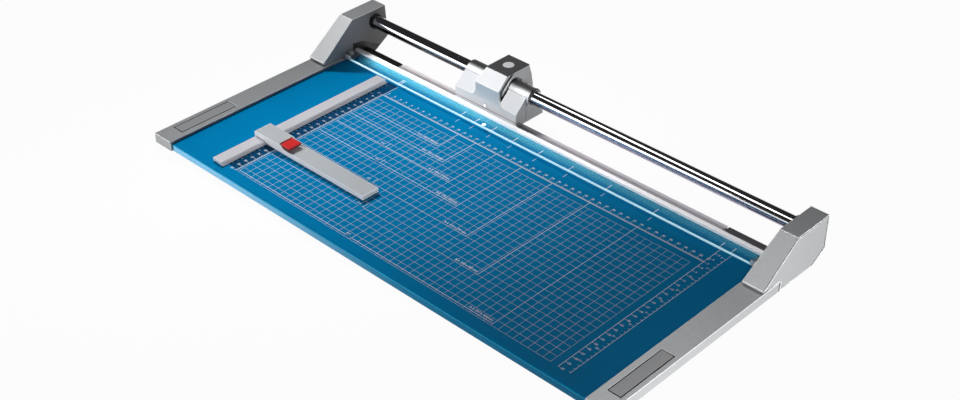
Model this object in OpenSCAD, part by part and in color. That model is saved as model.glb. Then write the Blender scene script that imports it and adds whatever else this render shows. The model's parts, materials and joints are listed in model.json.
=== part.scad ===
// Rolling paper trimmer: a flat table with two end frames, a round guide tube between two towers,
// a sliding head with a round blade, a clear clamp strip, and a stop bar with a back gauge.
// Millimetres. X runs along the cut, Y to the back, Z up. The origin is under the middle of the part.

/* [Table] */
// Length of the table top between the end frames
table_len = 642; // [560:1:760]
// Distance from the cut line to the table's front lip
table_reach = 316.5; // [300:0.5:400]
// Thickness of the table sheet
sheet_t = 1.5; // [1:0.1:2.2]
// Depth of the folded front lip
lip_drop = 9.8; // [6:0.1:10.5]
// Outer radius of the fold at the front lip
lip_r = 3; // [2.4:0.1:5]
// Height of the table top above the desk
table_h = 12.5; // [12:0.1:18]

/* [End frames] */
// Width of one end frame
frame_w = 30; // [26:0.5:40]
// Height of the end frame above the table top
frame_rise = 3; // [2:0.1:5]
// Depth of the end frame below the table top
frame_drop = 9.5; // [9:0.1:11]
// How far the end frame stands out in front of the front lip
frame_nose = 3; // [1:0.5:8]
// Wall of the end frame
frame_wall = 3; // [2:0.1:4]
// Width of the ledge under the table's ends
ledge_w = 8; // [6:0.5:12]
// Thickness of that ledge
ledge_t = 3; // [2:0.1:4]
// Length of the label inlay
label_len = 81; // [40:1:120]
// Width of the label inlay
label_w = 15.2; // [10:0.1:20]
// Distance of the label inlay from the end frame's front
label_from_front = 24; // [14:0.5:60]

/* [Towers] */
// Width of a tower at its foot
tower_w = 27; // [24:0.5:36]
// How much the inner face leans outwards over the tower's height
tower_lean = 4; // [0:0.1:5]
// Height of the tower above the table top
tower_top = 46.4; // [44:0.1:70]
// Distance of the top's front edge in front of the cut line
tower_top_front = 22; // [10:0.5:34]
// Distance of the tower's back behind the cut line
tower_back = 35; // [32:0.5:44]
// Distance of the tower's foot in front of the cut line
tower_foot = 76.5; // [66:0.5:90]
// Height of the tower's nose above the table top
tower_nose = 7; // [5:0.1:12]
// Where the tower drops beside the end frame, in front of the cut line
tower_split = 47; // [46:0.5:56]
// Wall of the tower
tower_wall = 3; // [2:0.1:4]
// Thickness of the tower's outer cover
cover_t = 2.2; // [1.5:0.1:3]
// Rim of the tower round its cover
cover_rim = 1.4; // [1:0.1:2.4]

/* [Guide tube] */
// Outer diameter of the guide tube
tube_d = 17; // [14:0.1:18]
// Wall of the guide tube
tube_wall = 2; // [1.2:0.1:3]
// Distance of the tube's axis behind the cut line
tube_back = 15.4; // [14.5:0.1:18]
// Height of the tube's axis above the table top
tube_up = 31; // [29.5:0.1:33]
// Wall of the rubber collar at each tower
collar_wall = 1.3; // [1:0.1:3]
// Length of the rubber collar
collar_len = 6.5; // [4:0.1:9]

/* [Knife] */
// Length of the counter knife, which is the cutting length
knife_len = 509; // [420:1:600]
// Place of the knife's middle along the cut
knife_shift = -4; // [-12:0.5:12]
// Width of the counter knife
knife_w = 15; // [15:0.1:18]
// Thickness of the counter knife
knife_t = 2; // [1.6:0.1:2.6]
// Depth of the knife's top below the table top
knife_drop = 0.3; // [0.2:0.05:0.6]
// Diameter of the round blade
blade_d = 26.4; // [24:0.1:28]
// Thickness of the round blade
blade_t = 1.2; // [0.8:0.1:1.6]
// How far the round blade reaches below the knife's top
blade_overlap = 1.4; // [0.8:0.1:1.8]

/* [Clamp strip] */
// Distance of the strip's front edge in front of the cut line
strip_front = 43; // [40:0.5:44]
// Thickness of the strip's flat part
strip_t = 3; // [2.4:0.1:3.4]
// Room for paper under the strip at rest
strip_gap = 2.2; // [1.6:0.1:2.6]
// Distance of the rib's front face in front of the cut line
rib_front = 26; // [24:0.1:28]
// Distance of the rib's back face in front of the cut line
rib_back = 20; // [18:0.1:21]
// Height of the rib above the strip's flat part
rib_h = 3.2; // [2:0.1:5]

/* [Cutting head] */
// Length of the head along the tube
head_len = 100.6; // [90:0.2:110]
// Rest place of the head's middle along the cut
head_rest = -101.2; // [-200:0.1:190]
// Distance of the head's front plate in front of the cut line
head_front = 14.2; // [13.5:0.1:14.8]
// Distance of the head's back behind the cut line
head_back = 47.5; // [45:0.1:52]
// Height of the head above the table top
head_top = 52.7; // [50:0.1:58]
// Clearance of the head's underside above the table top
head_clear = 0.9; // [0.5:0.1:1.6]
// Height of the front plate at the head's ends
shoulder_h = 18.5; // [16:0.1:22]
// Width of the head's middle block
block_w = 38.3; // [36:0.1:46]
// Place of the middle block beside the head's middle
block_shift = 2.5; // [-4:0.1:4]
// Height of the block's upright front
block_front_h = 38.5; // [34:0.1:42]
// Wall of the sleeves round the tube's bushes
sleeve_wall = 1.5; // [1.2:0.1:3]
// Wall of the slide bushes
bush_wall = 1.3; // [1:0.1:2]
// Thickness of the front plate
plate_t = 3.5; // [2.4:0.1:4]
// Thickness of the top cap
cap_t = 1.2; // [0.8:0.1:2.4]

/* [Stop bar and gauge] */
// Distance of the stop edge from the table's left end
stop_inset = 81.5; // [60:0.5:140]
// Width of the stop bar
stop_w = 18; // [14:0.1:24]
// Thickness of the stop bar
stop_t = 4.5; // [3.6:0.1:6]
// Width of the low ledge along the stop edge
stop_ledge_w = 2.5; // [1.5:0.1:4]
// Thickness of that ledge
stop_ledge_t = 1.8; // [1.2:0.1:2.6]
// Distance of the bar's front end behind the front lip
stop_from_front = 11; // [6:0.5:30]
// Distance of the bar's back end in front of the cut line
stop_back = 47; // [46:0.5:60]
// Width of the gauge along the stop bar
gauge_w = 24; // [22:0.5:32]
// Rest place of the gauge's middle in front of the cut line
gauge_rest = 229.7; // [120:0.1:270]
// Reach of the gauge's arm from the stop edge
arm_len = 168; // [100:1:240]
// Height of the arm's top above the table top
arm_top = 6.5; // [5.5:0.1:8]
// Height of the gauge's block above the table top
gauge_top = 10.5; // [10:0.1:13]
// Length of the gauge's block from the stop edge
gauge_block = 22; // [18:0.5:30]
// Length of the red lock lever
lever_len = 17; // [12:0.1:22]
// Width of the red lock lever
lever_w = 17.8; // [12:0.1:19]
// Thickness of the red lock lever
lever_t = 2.6; // [2:0.1:3]

/* [Feet] */
// Radius of a rubber foot
foot_r = 8; // [6:0.1:10]
// Distance of the front feet from the end frame's front
foot_from_front = 17; // [14:0.5:24]
// Distance of the rear feet in front of the cut line
foot_rear = 8; // [0:0.5:30]

/* [Hidden] */
$fn = 64;

// Clearances
seam = 0.3;
cover_gap = 0.8;
label_gap = 0.7;
split_gap = 0.8;
nose_gap = 1;
knife_end_gap = 2;
fit = 0.05;
run_fit = 0.06;
slide_gap = 0.25;
loose = 0.4;

// Overall places, seen from the cut line and the table top
half_in = table_len / 2;
half_out = half_in + frame_w;
tower_in = half_out - tower_w;
frame_front = table_reach + frame_nose;
rear_reach = max(head_back, tower_back);
cut_y = (frame_front - rear_reach) / 2;
foot_drop = table_h - frame_drop;

// Rails under the table
rail_wall = 1.5;
front_rail_w = 20;
front_rail_inset = 36.5;
front_rail_back = table_reach - front_rail_inset;
rail_bottom = -frame_drop + 0.5;
knife_rail_front = 44.2;
rail_screw_back = 30;
knife_rail_back = 1.6;
knife_rail_roof = 2.2;
knife_bottom = -knife_drop - knife_t;
knife_left = knife_shift - knife_len / 2;
knife_right = knife_shift + knife_len / 2;

// Screws
screw_r = 1.5;
screw_head_r = 3;
screw_head_h = 2;
stem_r = 2;

// Towers
cavity_x = tower_in + tower_lean + tower_wall + 0.5;
tube_r = tube_d / 2;
tube_end = half_out - cover_t - 3.3;
boss_r = tube_r + 3;
collar_r = tube_r + collar_wall;
collar_seat = tower_in + tower_lean + 1;
tower_profile = [
  [-tower_foot, frame_rise],
  [-tower_split, frame_rise],
  [-tower_split, -frame_drop],
  [tower_back - 22, -frame_drop],
  [tower_back, 4],
  [tower_back, tower_top],
  [-tower_top_front, tower_top],
  [-tower_foot, tower_nose]
];
tower_slope = (tower_top - tower_nose) / (tower_foot - tower_top_front);
tower_cavity = [
  [-tower_foot - (tower_nose - frame_rise) / tower_slope, frame_rise],
  [tower_back, frame_rise],
  [tower_back, tower_top],
  [-tower_top_front, tower_top]
];
insert_profile = [
  [-rib_front, -frame_drop + 0.5],
  [tower_back - 23, -frame_drop + 0.5],
  [tower_back - 15, -4],
  [-8.6, 12.2],
  [-rib_front, 15]
];
insert_depth = 3;
tongue_end = knife_w + 1;

// Clamp strip
strip_back = 16;
strip_top = strip_gap + strip_t;
strip_end = half_in - 10.5;
rib_end = half_in + 1;
bracket_t = 1.5;
bracket_lip = 3.8;
clamp_screw_x = half_in - 2.5;
clamp_screw_y = -(strip_front + rib_front) / 2;
clamp_screw_head_h = 3;
clamp_screw_head_r = 3.6;
spring_wall = 1.4;

// Head
bush_r = tube_r + bush_wall;
sleeve_r = bush_r + sleeve_wall;
head_split = tube_back - sleeve_r - 0.3;
sleeve_out = 2.5;
top_front = 5;
top_back = head_back - 5;
lid_z = head_top - cap_t;
slant = atan2(head_top - block_front_h, top_front + head_front);
core_inset = 1.5;
core_back = 7.5;
side_wall = 3;
plate_line = 0.7;
plate_line_up = head_clear + 6.2;
arch_gap = 2.6;
arch_depth = 4;
flare = 0.7;
flare_len = 1.2;
waist_h = 24;
heel_h = 10;
heel_cut = 7;
badge_r = 7;
badge_y = 24;
badge_depth = 0.5;
block_draft = 2.1;
heel_back = 34.3;
web_r = 11;
axle_up = blade_d / 2 - blade_overlap - knife_drop;
axle_r = 2.5;
blade_y = 0.1;
hub_r = 5;
hub_flange_r = 7;
hub_back = blade_y + blade_t + 2.2;
blade_room = blade_d / 2 + 2.2;
hub_pocket = hub_back + 4.5;
clip_y = hub_pocket - 1.6;
glide_len = 12;

// Gauge
stop_x = half_in - stop_inset;
stop_screw_front = 36;
stop_screw_back = 14;
bar_left = -stop_x - stop_w;
bar_top_right = -stop_x - stop_ledge_w;
gauge_lip = 2.2;
gauge_left = bar_left - slide_gap - gauge_lip;
gauge_block_x = gauge_block - stop_x;
ramp_len = 9;
arm_bottom = 0.6;
lever_pin_r = 1;
lever_barrel_r = 1.95;
lever_pin_x = gauge_block_x + 3.7;
lever_pin_z = gauge_top - lever_t - 0.5;
lever_tail = 0.7;
lever_room = 0.35;
recess_depth = 1.2;
recess_r = 14;
pad_l = 5;

// Helpers
function left_normal(a, b) = [a[1] - b[1], b[0] - a[0]] / norm(b - a);
function inset_point(a, b, c, d) =
  let (n1 = left_normal(a, b), n2 = left_normal(b, c)) b + d * (n1 + n2) / (1 + n1 * n2);
function inset_poly(p, d) =
  [for (i = [0:len(p) - 1]) inset_point(p[(i + len(p) - 1) % len(p)], p[i], p[(i + 1) % len(p)], d)];
function tangent_point(c, r, p, side) =
  let (v = p - c, a = atan2(v[1], v[0]) + side * acos(r / norm(v))) c + r * [cos(a), sin(a)];

module place() { translate([0, cut_y, table_h]) children(); }
module at_head() { place() translate([head_rest, 0, 0]) children(); }
module at_gauge() { place() translate([0, -gauge_rest, 0]) children(); }
module left_side() { mirror([1, 0, 0]) children(); }
module both_sides() {
  children();
  mirror([1, 0, 0]) children();
}
module along_x(x0, x1) { translate([x0, 0, 0]) rotate([90, 0, 90]) linear_extrude(x1 - x0) children(); }
module along_y(y0, y1) { translate([0, y1, 0]) rotate([90, 0, 0]) linear_extrude(y1 - y0) children(); }
module box(x0, x1, y0, y1, z0, z1) { translate([x0, y0, z0]) cube([x1 - x0, y1 - y0, z1 - z0]); }
module rod_x(r, x0, x1) { translate([x0, 0, 0]) rotate([0, 90, 0]) cylinder(r = r, h = x1 - x0); }
module rod_y(r, y0, y1) { translate([0, y1, 0]) rotate([90, 0, 0]) cylinder(r = r, h = y1 - y0); }
module rod_z(r, z0, z1) { translate([0, 0, z0]) cylinder(r = r, h = z1 - z0); }
module on_tube() { translate([0, tube_back, tube_up]) children(); }

// Table
module lip_section() {
  difference() {
    union() {
      translate([-table_reach + lip_r, -sheet_t]) square([table_reach - lip_r - knife_w - seam, sheet_t]);
      translate([-table_reach, -lip_drop]) square([sheet_t, lip_drop - lip_r]);
      translate([-table_reach + lip_r, -lip_r]) circle(lip_r);
    }
    translate([-table_reach + lip_r, -lip_r]) circle(lip_r - sheet_t);
    translate([-table_reach + lip_r, -lip_drop]) square([lip_r + 1, lip_drop - sheet_t]);
    translate([-table_reach + sheet_t, -lip_drop]) square([lip_r, lip_drop - lip_r]);
  }
}

// Places of the table's fixing screws: three on each ledge, three in each rail
ledge_screws = [for (k = [0.79, 0.5, 0.22]) [half_in - ledge_w / 2, -k * table_reach]];
rail_screws = [for (x = [-half_in * 0.62, 0, half_in * 0.62], y = [-front_rail_back - front_rail_w / 2, -rail_screw_back])
  [x, y]];
table_screw_places = concat(
  ledge_screws,
  [for (p = ledge_screws) [-p[0], p[1]]],
  rail_screws
);
stop_screw_places = [for (y = [-table_reach + stop_from_front + stop_screw_front, -stop_back - stop_screw_back])
  [-stop_x - stop_w / 2, y]];

module table_plate() {
  color("dodgerblue") place() difference() {
    along_x(-half_in + loose, half_in - loose) lip_section();
    for (p = table_screw_places) translate([p[0], p[1], 0]) rod_z(screw_r + fit, -sheet_t - 1, -0.5);
    for (p = stop_screw_places) translate([p[0], p[1], 0]) rod_z(screw_r + fit, -sheet_t - 1, 1);
    both_sides() translate([clamp_screw_x, clamp_screw_y, 0]) rod_z(stem_r + seam, -sheet_t - 1, 1);
  }
}

module front_rail() {
  color("dimgray") place() difference() {
    box(-half_in, half_in, -front_rail_back - front_rail_w, -front_rail_back, rail_bottom, -sheet_t);
    box(-half_in - 1, half_in + 1, -front_rail_back - front_rail_w + rail_wall, -front_rail_back - rail_wall,
      rail_bottom - 1, -sheet_t - rail_wall);
    for (p = rail_screws) translate([p[0], p[1], 0]) rod_z(screw_r + fit, rail_bottom, 0);
  }
}

module knife_rail() {
  color("gray") place() difference() {
    union() {
      box(-tower_in, tower_in, -knife_rail_front, -knife_rail_back, rail_bottom, knife_bottom);
      box(-half_in + ledge_w / 4, half_in - ledge_w / 4, -knife_rail_front, -knife_w - seam,
        knife_bottom - 1, -sheet_t);
    }
    box(-tower_in - 1, clamp_screw_x * -1 - 6, -knife_rail_front - 1, -strip_back - 2, knife_bottom - 0.01, 0);
    box(clamp_screw_x + 6, tower_in + 1, -knife_rail_front - 1, -strip_back - 2, knife_bottom - 0.01, 0);
    box(-half_in + 14, half_in - 14, -knife_rail_front + 3, -knife_rail_back - rail_wall, rail_bottom - 1,
      knife_bottom - knife_rail_roof);
    for (p = rail_screws) translate([p[0], p[1], 0]) rod_z(screw_r + fit, rail_bottom, 0);
    for (x = knife_screw_xs) translate([x, -knife_w / 2, 0]) rod_z(screw_r + fit, rail_bottom, 0);
    both_sides() translate([clamp_screw_x, clamp_screw_y, 0]) rod_z(stem_r + fit, rail_bottom - 1, 0);
  }
}

knife_screw_xs = [for (i = [-2:2]) knife_shift + i * knife_len / 5];

module counter_knife() {
  color("rosybrown") place() difference() {
    box(knife_left, knife_right, -knife_w, 0, knife_bottom, -knife_drop);
    for (x = knife_screw_xs) translate([x, -knife_w / 2, 0]) rod_z(screw_r + fit, knife_bottom - 1, -knife_drop - 0.6);
  }
}

module left_knife_end() {
  color("black") place() box(-tower_in, knife_left - knife_end_gap, -knife_w, 0, knife_bottom, -knife_drop);
}

module right_knife_end() {
  color("black") place() box(knife_right + knife_end_gap, tower_in, -knife_w, 0, knife_bottom, -knife_drop);
}

module under_screw(top, seat) {
  rod_z(screw_r, seat, top);
  rod_z(screw_head_r, seat - screw_head_h, seat);
}

module knife_screws() {
  color("silver") place() for (x = knife_screw_xs)
    translate([x, -knife_w / 2, 0]) under_screw(-knife_drop - 0.7, knife_bottom - knife_rail_roof);
}

module table_screws() {
  color("silver") place() {
    for (p = ledge_screws) both_sides() translate([p[0], p[1], 0]) under_screw(-0.6, -sheet_t - ledge_t);
    for (p = rail_screws) translate([p[0], p[1], 0])
      under_screw(-0.6, p[1] < -knife_rail_front ? -sheet_t - rail_wall : knife_bottom - knife_rail_roof);
  }
}

// End frames
module end_frame() {
  difference() {
    union() {
      box(half_in, half_out, -frame_front, -tower_split - split_gap, -frame_drop, frame_rise);
      box(half_in, tower_in, -tower_split - split_gap, -tongue_end, knife_bottom, 0);
      box(half_in - ledge_w, half_in + 1, -front_rail_back + 1, -knife_rail_front - 1, -sheet_t - ledge_t, -sheet_t);
    }
    box(half_in + frame_wall, half_out - frame_wall, -frame_front + 2 * foot_from_front, -tower_split - 10,
      -frame_drop - 1, frame_rise - frame_wall);
    label_space(label_gap, 1);
    for (p = ledge_screws) translate([p[0], p[1], 0]) rod_z(screw_r + fit, -frame_drop, 0);
    translate([foot_x, -frame_front + foot_from_front, 0]) rod_z(screw_r + fit, -frame_drop - 1, -2);
  }
}

label_t = 0.9;
label_x = half_in + (frame_w - label_w) / 2 + 1;
foot_x = half_in + frame_w / 2;

module label_space(gap, over) {
  box(label_x - gap, label_x + label_w + gap, -frame_front + label_from_front - gap,
    -frame_front + label_from_front + label_len + gap, frame_rise - label_t, frame_rise + over);
}

module left_end_frame() { color("lightgray") place() left_side() end_frame(); }
module right_end_frame() { color("lightgray") place() end_frame(); }
module left_label_inlay() { color("gray") place() left_side() label_space(0, 0); }
module right_label_inlay() { color("gray") place() label_space(0, 0); }

// Towers
module tower() {
  difference() {
    union() {
      difference() {
        intersection() {
          along_x(tower_in, half_out) polygon(tower_profile);
          along_y(-tower_foot - 1, tower_back + 1) polygon([
            [tower_in, -frame_drop - 1],
            [half_out, -frame_drop - 1],
            [half_out, tower_top + 1],
            [tower_in + tower_lean, tower_top + 1],
            [tower_in, tower_nose]
          ]);
        }
        along_x(cavity_x, half_out + 1) polygon(inset_poly(tower_cavity, tower_wall));
      }
      on_tube() rod_x(boss_r, cavity_x - 1, tube_end);
    }
    along_x(half_out - cover_t - seam, half_out + 1) polygon(inset_poly(tower_profile, cover_rim));
    box(tower_in - 1, half_out + 1, -tower_foot - 1, -tower_foot + nose_gap, frame_rise - 1,
      frame_rise + nose_gap);
    on_tube() rod_x(tube_r + fit, tower_in - 1, half_out);
    on_tube() rod_x(collar_r + fit, tower_in - 1, collar_seat);
    along_x(tower_in - 1, tower_in + insert_depth) polygon(inset_poly(insert_profile, -fit));
    translate([set_screw_x, tube_back, tube_up]) rod_z(screw_r + 0.5 + fit, 0, boss_r + 0.5);
    translate([foot_x, -foot_rear, 0]) rod_z(screw_r + fit, -frame_drop - 1, -2);
  }
}

set_screw_x = tube_end - 7;

module left_tower() { color("silver") place() left_side() tower(); }
module right_tower() { color("silver") place() tower(); }

module tower_cover() {
  along_x(half_out - cover_t, half_out) polygon(inset_poly(tower_profile, cover_rim + cover_gap));
}

module left_tower_cover() { color("lightsteelblue") place() left_side() tower_cover(); }
module right_tower_cover() { color("lightsteelblue") place() tower_cover(); }

module tower_insert() { along_x(tower_in + 0.2, tower_in + insert_depth) polygon(insert_profile); }

module left_tower_insert() { color("black") place() left_side() tower_insert(); }
module right_tower_insert() { color("black") place() tower_insert(); }

// Guide tube
module guide_tube() {
  color("gainsboro") place() on_tube() difference() {
    rod_x(tube_r, -tube_end, tube_end);
    rod_x(tube_r - tube_wall, -tube_end - 1, tube_end + 1);
  }
}

module tube_collars() {
  color("black") place() on_tube() both_sides() difference() {
    rod_x(collar_r, collar_seat - collar_len, collar_seat);
    rod_x(tube_r + fit, collar_seat - collar_len - 1, collar_seat + 1);
  }
}

module tube_set_screws() {
  color("dimgray") place() both_sides() translate([set_screw_x, tube_back, tube_up])
    rod_z(screw_r + 0.5, tube_r + fit, boss_r);
}

// Feet
module foot_places() {
  both_sides() {
    translate([foot_x, -frame_front + foot_from_front, 0]) children();
    translate([foot_x, -foot_rear, 0]) children();
  }
}

module rubber_feet() {
  color("black") place() foot_places() difference() {
    rod_z(foot_r, -table_h, -frame_drop);
    rod_z(screw_r + fit, -table_h - 1, 0);
    rod_z(screw_head_r + seam, -table_h - 1, -frame_drop - foot_drop / 2 + fit);
  }
}

module foot_screws() {
  color("silver") place() foot_places() {
    rod_z(screw_r, -frame_drop - foot_drop / 2, -2.2);
    rod_z(screw_head_r, -frame_drop - foot_drop / 2 - 1, -frame_drop - foot_drop / 2);
  }
}

// Stop bar
module stop_bar() {
  color("lightsteelblue") place() difference() {
    along_y(-table_reach + stop_from_front, -stop_back) polygon([
      [bar_left, 0],
      [-stop_x, 0],
      [-stop_x, stop_ledge_t],
      [bar_top_right, stop_ledge_t],
      [bar_top_right, stop_t],
      [bar_left, stop_t]
    ]);
    for (p = stop_screw_places) translate([p[0], p[1], 0]) rod_z(screw_r + fit, -1, stop_t - 1.2);
  }
}

module stop_bar_screws() {
  color("silver") place() for (p = stop_screw_places)
    translate([p[0], p[1], 0]) under_screw(stop_t - 1.4, -sheet_t);
}

// Clamp strip
module clamp_strip() {
  color("azure", 0.6) place() {
    along_x(-strip_end, strip_end) polygon([
      [-strip_front, strip_gap],
      [-strip_back, strip_gap],
      [-strip_back, strip_top - 1],
      [-rib_back, strip_top],
      [-rib_back, strip_top + rib_h],
      [-rib_front, strip_top + rib_h],
      [-rib_front, strip_top],
      [-strip_front, strip_top]
    ]);
    both_sides() box(strip_end, rib_end, -rib_front, -rib_back, strip_gap, strip_top + rib_h);
  }
}

module clamp_bracket() {
  difference() {
    union() {
      box(strip_end, rib_end, -strip_front, -rib_front, strip_top - bracket_t, strip_top);
      box(strip_end, rib_end, -strip_front, -strip_front + bracket_t, strip_gap, strip_top + bracket_lip);
    }
    translate([clamp_screw_x, clamp_screw_y, 0]) rod_z(stem_r + seam, 0, strip_top + 1);
  }
}

module left_clamp_bracket() { color("gray") place() left_side() clamp_bracket(); }
module right_clamp_bracket() { color("gray") place() clamp_bracket(); }

module clamp_guide_screws() {
  color("silver") place() both_sides() translate([clamp_screw_x, clamp_screw_y, 0]) {
    rod_z(stem_r, rail_bottom + 1, strip_top + seam);
    difference() {
      rod_z(clamp_screw_head_r, strip_top + seam, strip_top + seam + clamp_screw_head_h);
      translate([0, 0, strip_top + seam + 1]) cylinder(r = 2, h = clamp_screw_head_h, $fn = 6);
    }
  }
}

module clamp_springs() {
  color("silver") place() both_sides() translate([clamp_screw_x, clamp_screw_y, 0]) difference() {
    rod_z(stem_r + 0.7 + spring_wall, fit, strip_top - bracket_t - fit);
    rod_z(stem_r + 0.7, -1, strip_top);
  }
}

// Cutting head
slant_dir = [cos(slant), sin(slant)];
slant_in = [sin(slant), -cos(slant)];
function slant_y(offset, z) =
  let (p = [-head_front, block_front_h] + offset * slant_in) p[0] + (z - p[1]) / tan(slant);
function slant_z(offset, y) =
  let (p = [-head_front, block_front_h] + offset * slant_in) p[1] + (y - p[0]) * tan(slant);

module block_draft_space() {
  along_y(-head_front - 1, head_back + 1) polygon([
    [block_shift - block_w / 2, -1],
    [block_shift + block_w / 2, -1],
    [block_shift + block_w / 2, block_front_h],
    [block_shift + block_w / 2 - block_draft, head_top],
    [block_shift - block_w / 2 + block_draft, head_top],
    [block_shift - block_w / 2, block_front_h]
  ]);
}

module block_part(inset) {
  intersection() {
    along_x(block_shift - block_w / 2 + inset, block_shift + block_w / 2 - inset) children();
    block_draft_space();
  }
}

shoulder_axis = [tube_back, tube_up];
shoulder_edge = [-head_front, shoulder_h];
shoulder_touch = tangent_point(shoulder_axis, sleeve_r, shoulder_edge, -1);
shoulder_normal = (shoulder_touch - shoulder_axis) / sleeve_r;
block_left = block_shift - block_w / 2;
block_right = block_shift + block_w / 2;
core_floor = axle_up + blade_room + 5;
body_front = -head_front + core_back;

module shoulder_section() {
  back_edge = [heel_back - 1, 6.8];
  translate(shoulder_axis) circle(sleeve_r);
  polygon([
    [-head_front, head_clear],
    [heel_back, head_clear],
    back_edge,
    tangent_point(shoulder_axis, sleeve_r, back_edge, 1),
    shoulder_axis,
    shoulder_touch,
    shoulder_edge
  ]);
}

// Room round a shoulder and its sleeve, cut into both sides of the block
module arch_section() {
  translate(shoulder_axis) circle(sleeve_r + arch_gap);
  polygon([
    [-head_front, 0],
    [heel_back + arch_gap, 0],
    [heel_back + arch_gap, tube_up],
    shoulder_axis,
    shoulder_touch + arch_gap * shoulder_normal,
    shoulder_edge + arch_gap * shoulder_normal
  ]);
}

module arch_rooms() {
  along_x(block_left - 1, block_left + arch_depth) arch_section();
  along_x(block_right - arch_depth, block_right + 1) arch_section();
}

module half_plane(y0, y1) { translate([y0, 0]) square([y1 - y0, head_top]); }

module front_web() {
  difference() {
    translate([block_left - web_r, head_clear]) square([block_w + 2 * web_r, block_front_h - head_clear]);
    translate([block_left - web_r, shoulder_h + web_r]) circle(web_r);
    translate([block_right + web_r, shoulder_h + web_r]) circle(web_r);
    translate([block_left - web_r - 1, shoulder_h + web_r]) square([web_r + 1, block_front_h]);
    translate([block_right, shoulder_h + web_r]) square([web_r + 1, block_front_h]);
  }
}

module shoulder_front(x0, x1) {
  difference() {
    along_x(x0, x1) intersection() {
      shoulder_section();
      half_plane(-head_front, head_split - split_gap / 2);
    }
    along_x(x0 + plate_t, x1 - plate_t) polygon([
      [-head_front + plate_t, 0],
      [head_split - plate_t, 0],
      [head_split - plate_t, shoulder_h + 8],
      [-head_front + plate_t, shoulder_h - 2]
    ]);
  }
}

module head_front_cover() {
  color("whitesmoke") at_head() difference() {
    union() {
      shoulder_front(-head_len / 2, block_left - fit);
      shoulder_front(block_right + fit, head_len / 2);
      along_y(-head_front, -head_front + plate_t) front_web();
      block_part(0) polygon([
        [-head_front, head_clear],
        [-head_front + plate_t, head_clear],
        [-head_front + plate_t, slant_z(plate_t, -head_front + plate_t)],
        [slant_y(plate_t, lid_z), lid_z],
        [slant_y(0, lid_z), lid_z],
        [-head_front, block_front_h]
      ]);
    }
    translate([0, 0, axle_up]) {
      rod_y(axle_r + fit, -head_front - 1, 0);
      rod_y(blade_room, blade_y - 1.6, head_split + 1);
    }
    box(-head_len, head_len, -head_front - 1, -head_front + plate_line / 2, plate_line_up,
      plate_line_up + plate_line);
    for (x = head_screw_xs) translate([x, 0, head_screw_z]) rod_y(screw_r + fit, -6, head_split + 1);
  }
}

head_screw_xs = [-head_len / 2 + 9, head_len / 2 - 9];
head_screw_z = 9;

module head_core() {
  front = -head_front + plate_t + fit;
  near = plate_t + fit;
  far = core_back - fit;
  color("dimgray") at_head() difference() {
    union() {
      block_part(core_inset) polygon([
        [front, head_clear],
        [body_front - fit, head_clear],
        [body_front - fit, slant_z(far, body_front - fit)],
        [slant_y(far, lid_z), lid_z],
        [slant_y(near, lid_z), lid_z],
        [front, slant_z(near, front)]
      ]);
      box(block_left + side_wall + fit, block_right - side_wall - fit, front + 1, head_split - fit,
        head_clear, core_floor - fit);
    }
    arch_rooms();
    box(-blade_room, blade_room, blade_y - 1.6, head_split + 1, 0, axle_up + blade_room);
    translate([0, 0, axle_up]) rod_y(axle_r + fit, -head_front, 1);
  }
}

module head_body() {
  color("lightgray") at_head() difference() {
    union() {
      along_x(-head_len / 2, head_len / 2) intersection() {
        shoulder_section();
        half_plane(head_split + split_gap / 2, head_back);
      }
      difference() {
        block_part(0) polygon([
          [body_front, head_clear],
          [head_back - heel_cut, head_clear],
          [head_back, heel_h],
          [head_back, waist_h],
          [top_back + 0.3, lid_z],
          [slant_y(core_back, lid_z), lid_z],
          [body_front, slant_z(core_back, body_front)]
        ]);
        box(block_left + side_wall, block_right - side_wall, -head_front, head_split, 0, core_floor);
        arch_rooms();
      }
      on_tube() rod_x(sleeve_r, -head_len / 2, head_len / 2 + sleeve_out);
      on_tube() rod_x(sleeve_r + flare, head_len / 2 + sleeve_out - flare_len, head_len / 2 + sleeve_out);
    }
    on_tube() rod_x(bush_r + fit, -head_len, head_len);
    translate([0, 0, axle_up]) rod_y(hub_flange_r + 1, 0, hub_pocket);
    for (x = head_screw_xs) translate([x, 0, head_screw_z]) {
      rod_y(screw_r + fit, head_split - 1, head_back);
      rod_y(screw_head_r + seam, heel_back - 8, head_back);
    }
  }
}

module head_cap() {
  color("darkslategray") at_head() difference() {
    block_part(0) polygon([
      [slant_y(0, lid_z), lid_z],
      [top_back + 0.3, lid_z],
      [top_back, head_top],
      [top_front, head_top]
    ]);
    translate([block_shift, badge_y, 0]) rod_z(badge_r + 2 * fit, head_top - badge_depth, head_top + 1);
  }
}

module head_badge() {
  color("silver") at_head() translate([block_shift, badge_y, 0]) rod_z(badge_r, head_top - badge_depth, head_top - fit);
}

bush_len = 18;

module head_bushes() {
  color("saddlebrown") at_head() on_tube() difference() {
    union() {
      rod_x(bush_r, -head_len / 2 + 0.5, -head_len / 2 + bush_len);
      rod_x(bush_r, head_len / 2 + sleeve_out - bush_len, head_len / 2 + sleeve_out - 0.5);
    }
    rod_x(tube_r + run_fit, -head_len, head_len);
  }
}

module head_glides() {
  color("white") at_head() both_sides()
    box(head_len / 2 - 3 - glide_len, head_len / 2 - 3, -head_front + 0.6, -head_front + plate_t - 0.4,
      -knife_drop + 0.1, head_clear);
}

module head_screws() {
  color("silver") at_head() for (x = head_screw_xs) translate([x, 0, head_screw_z]) {
    rod_y(screw_r, -5, heel_back - 8);
    rod_y(screw_head_r, heel_back - 8, heel_back - 8 + screw_head_h);
  }
}

// Round blade on its axle
module blade_axle() {
  color("white") at_head() translate([0, 0, axle_up]) {
    rod_y(axle_r, -head_front, hub_pocket - 0.2);
    rod_y(axle_r + 0.5, -head_front - 0.7, -head_front);
  }
}

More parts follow.
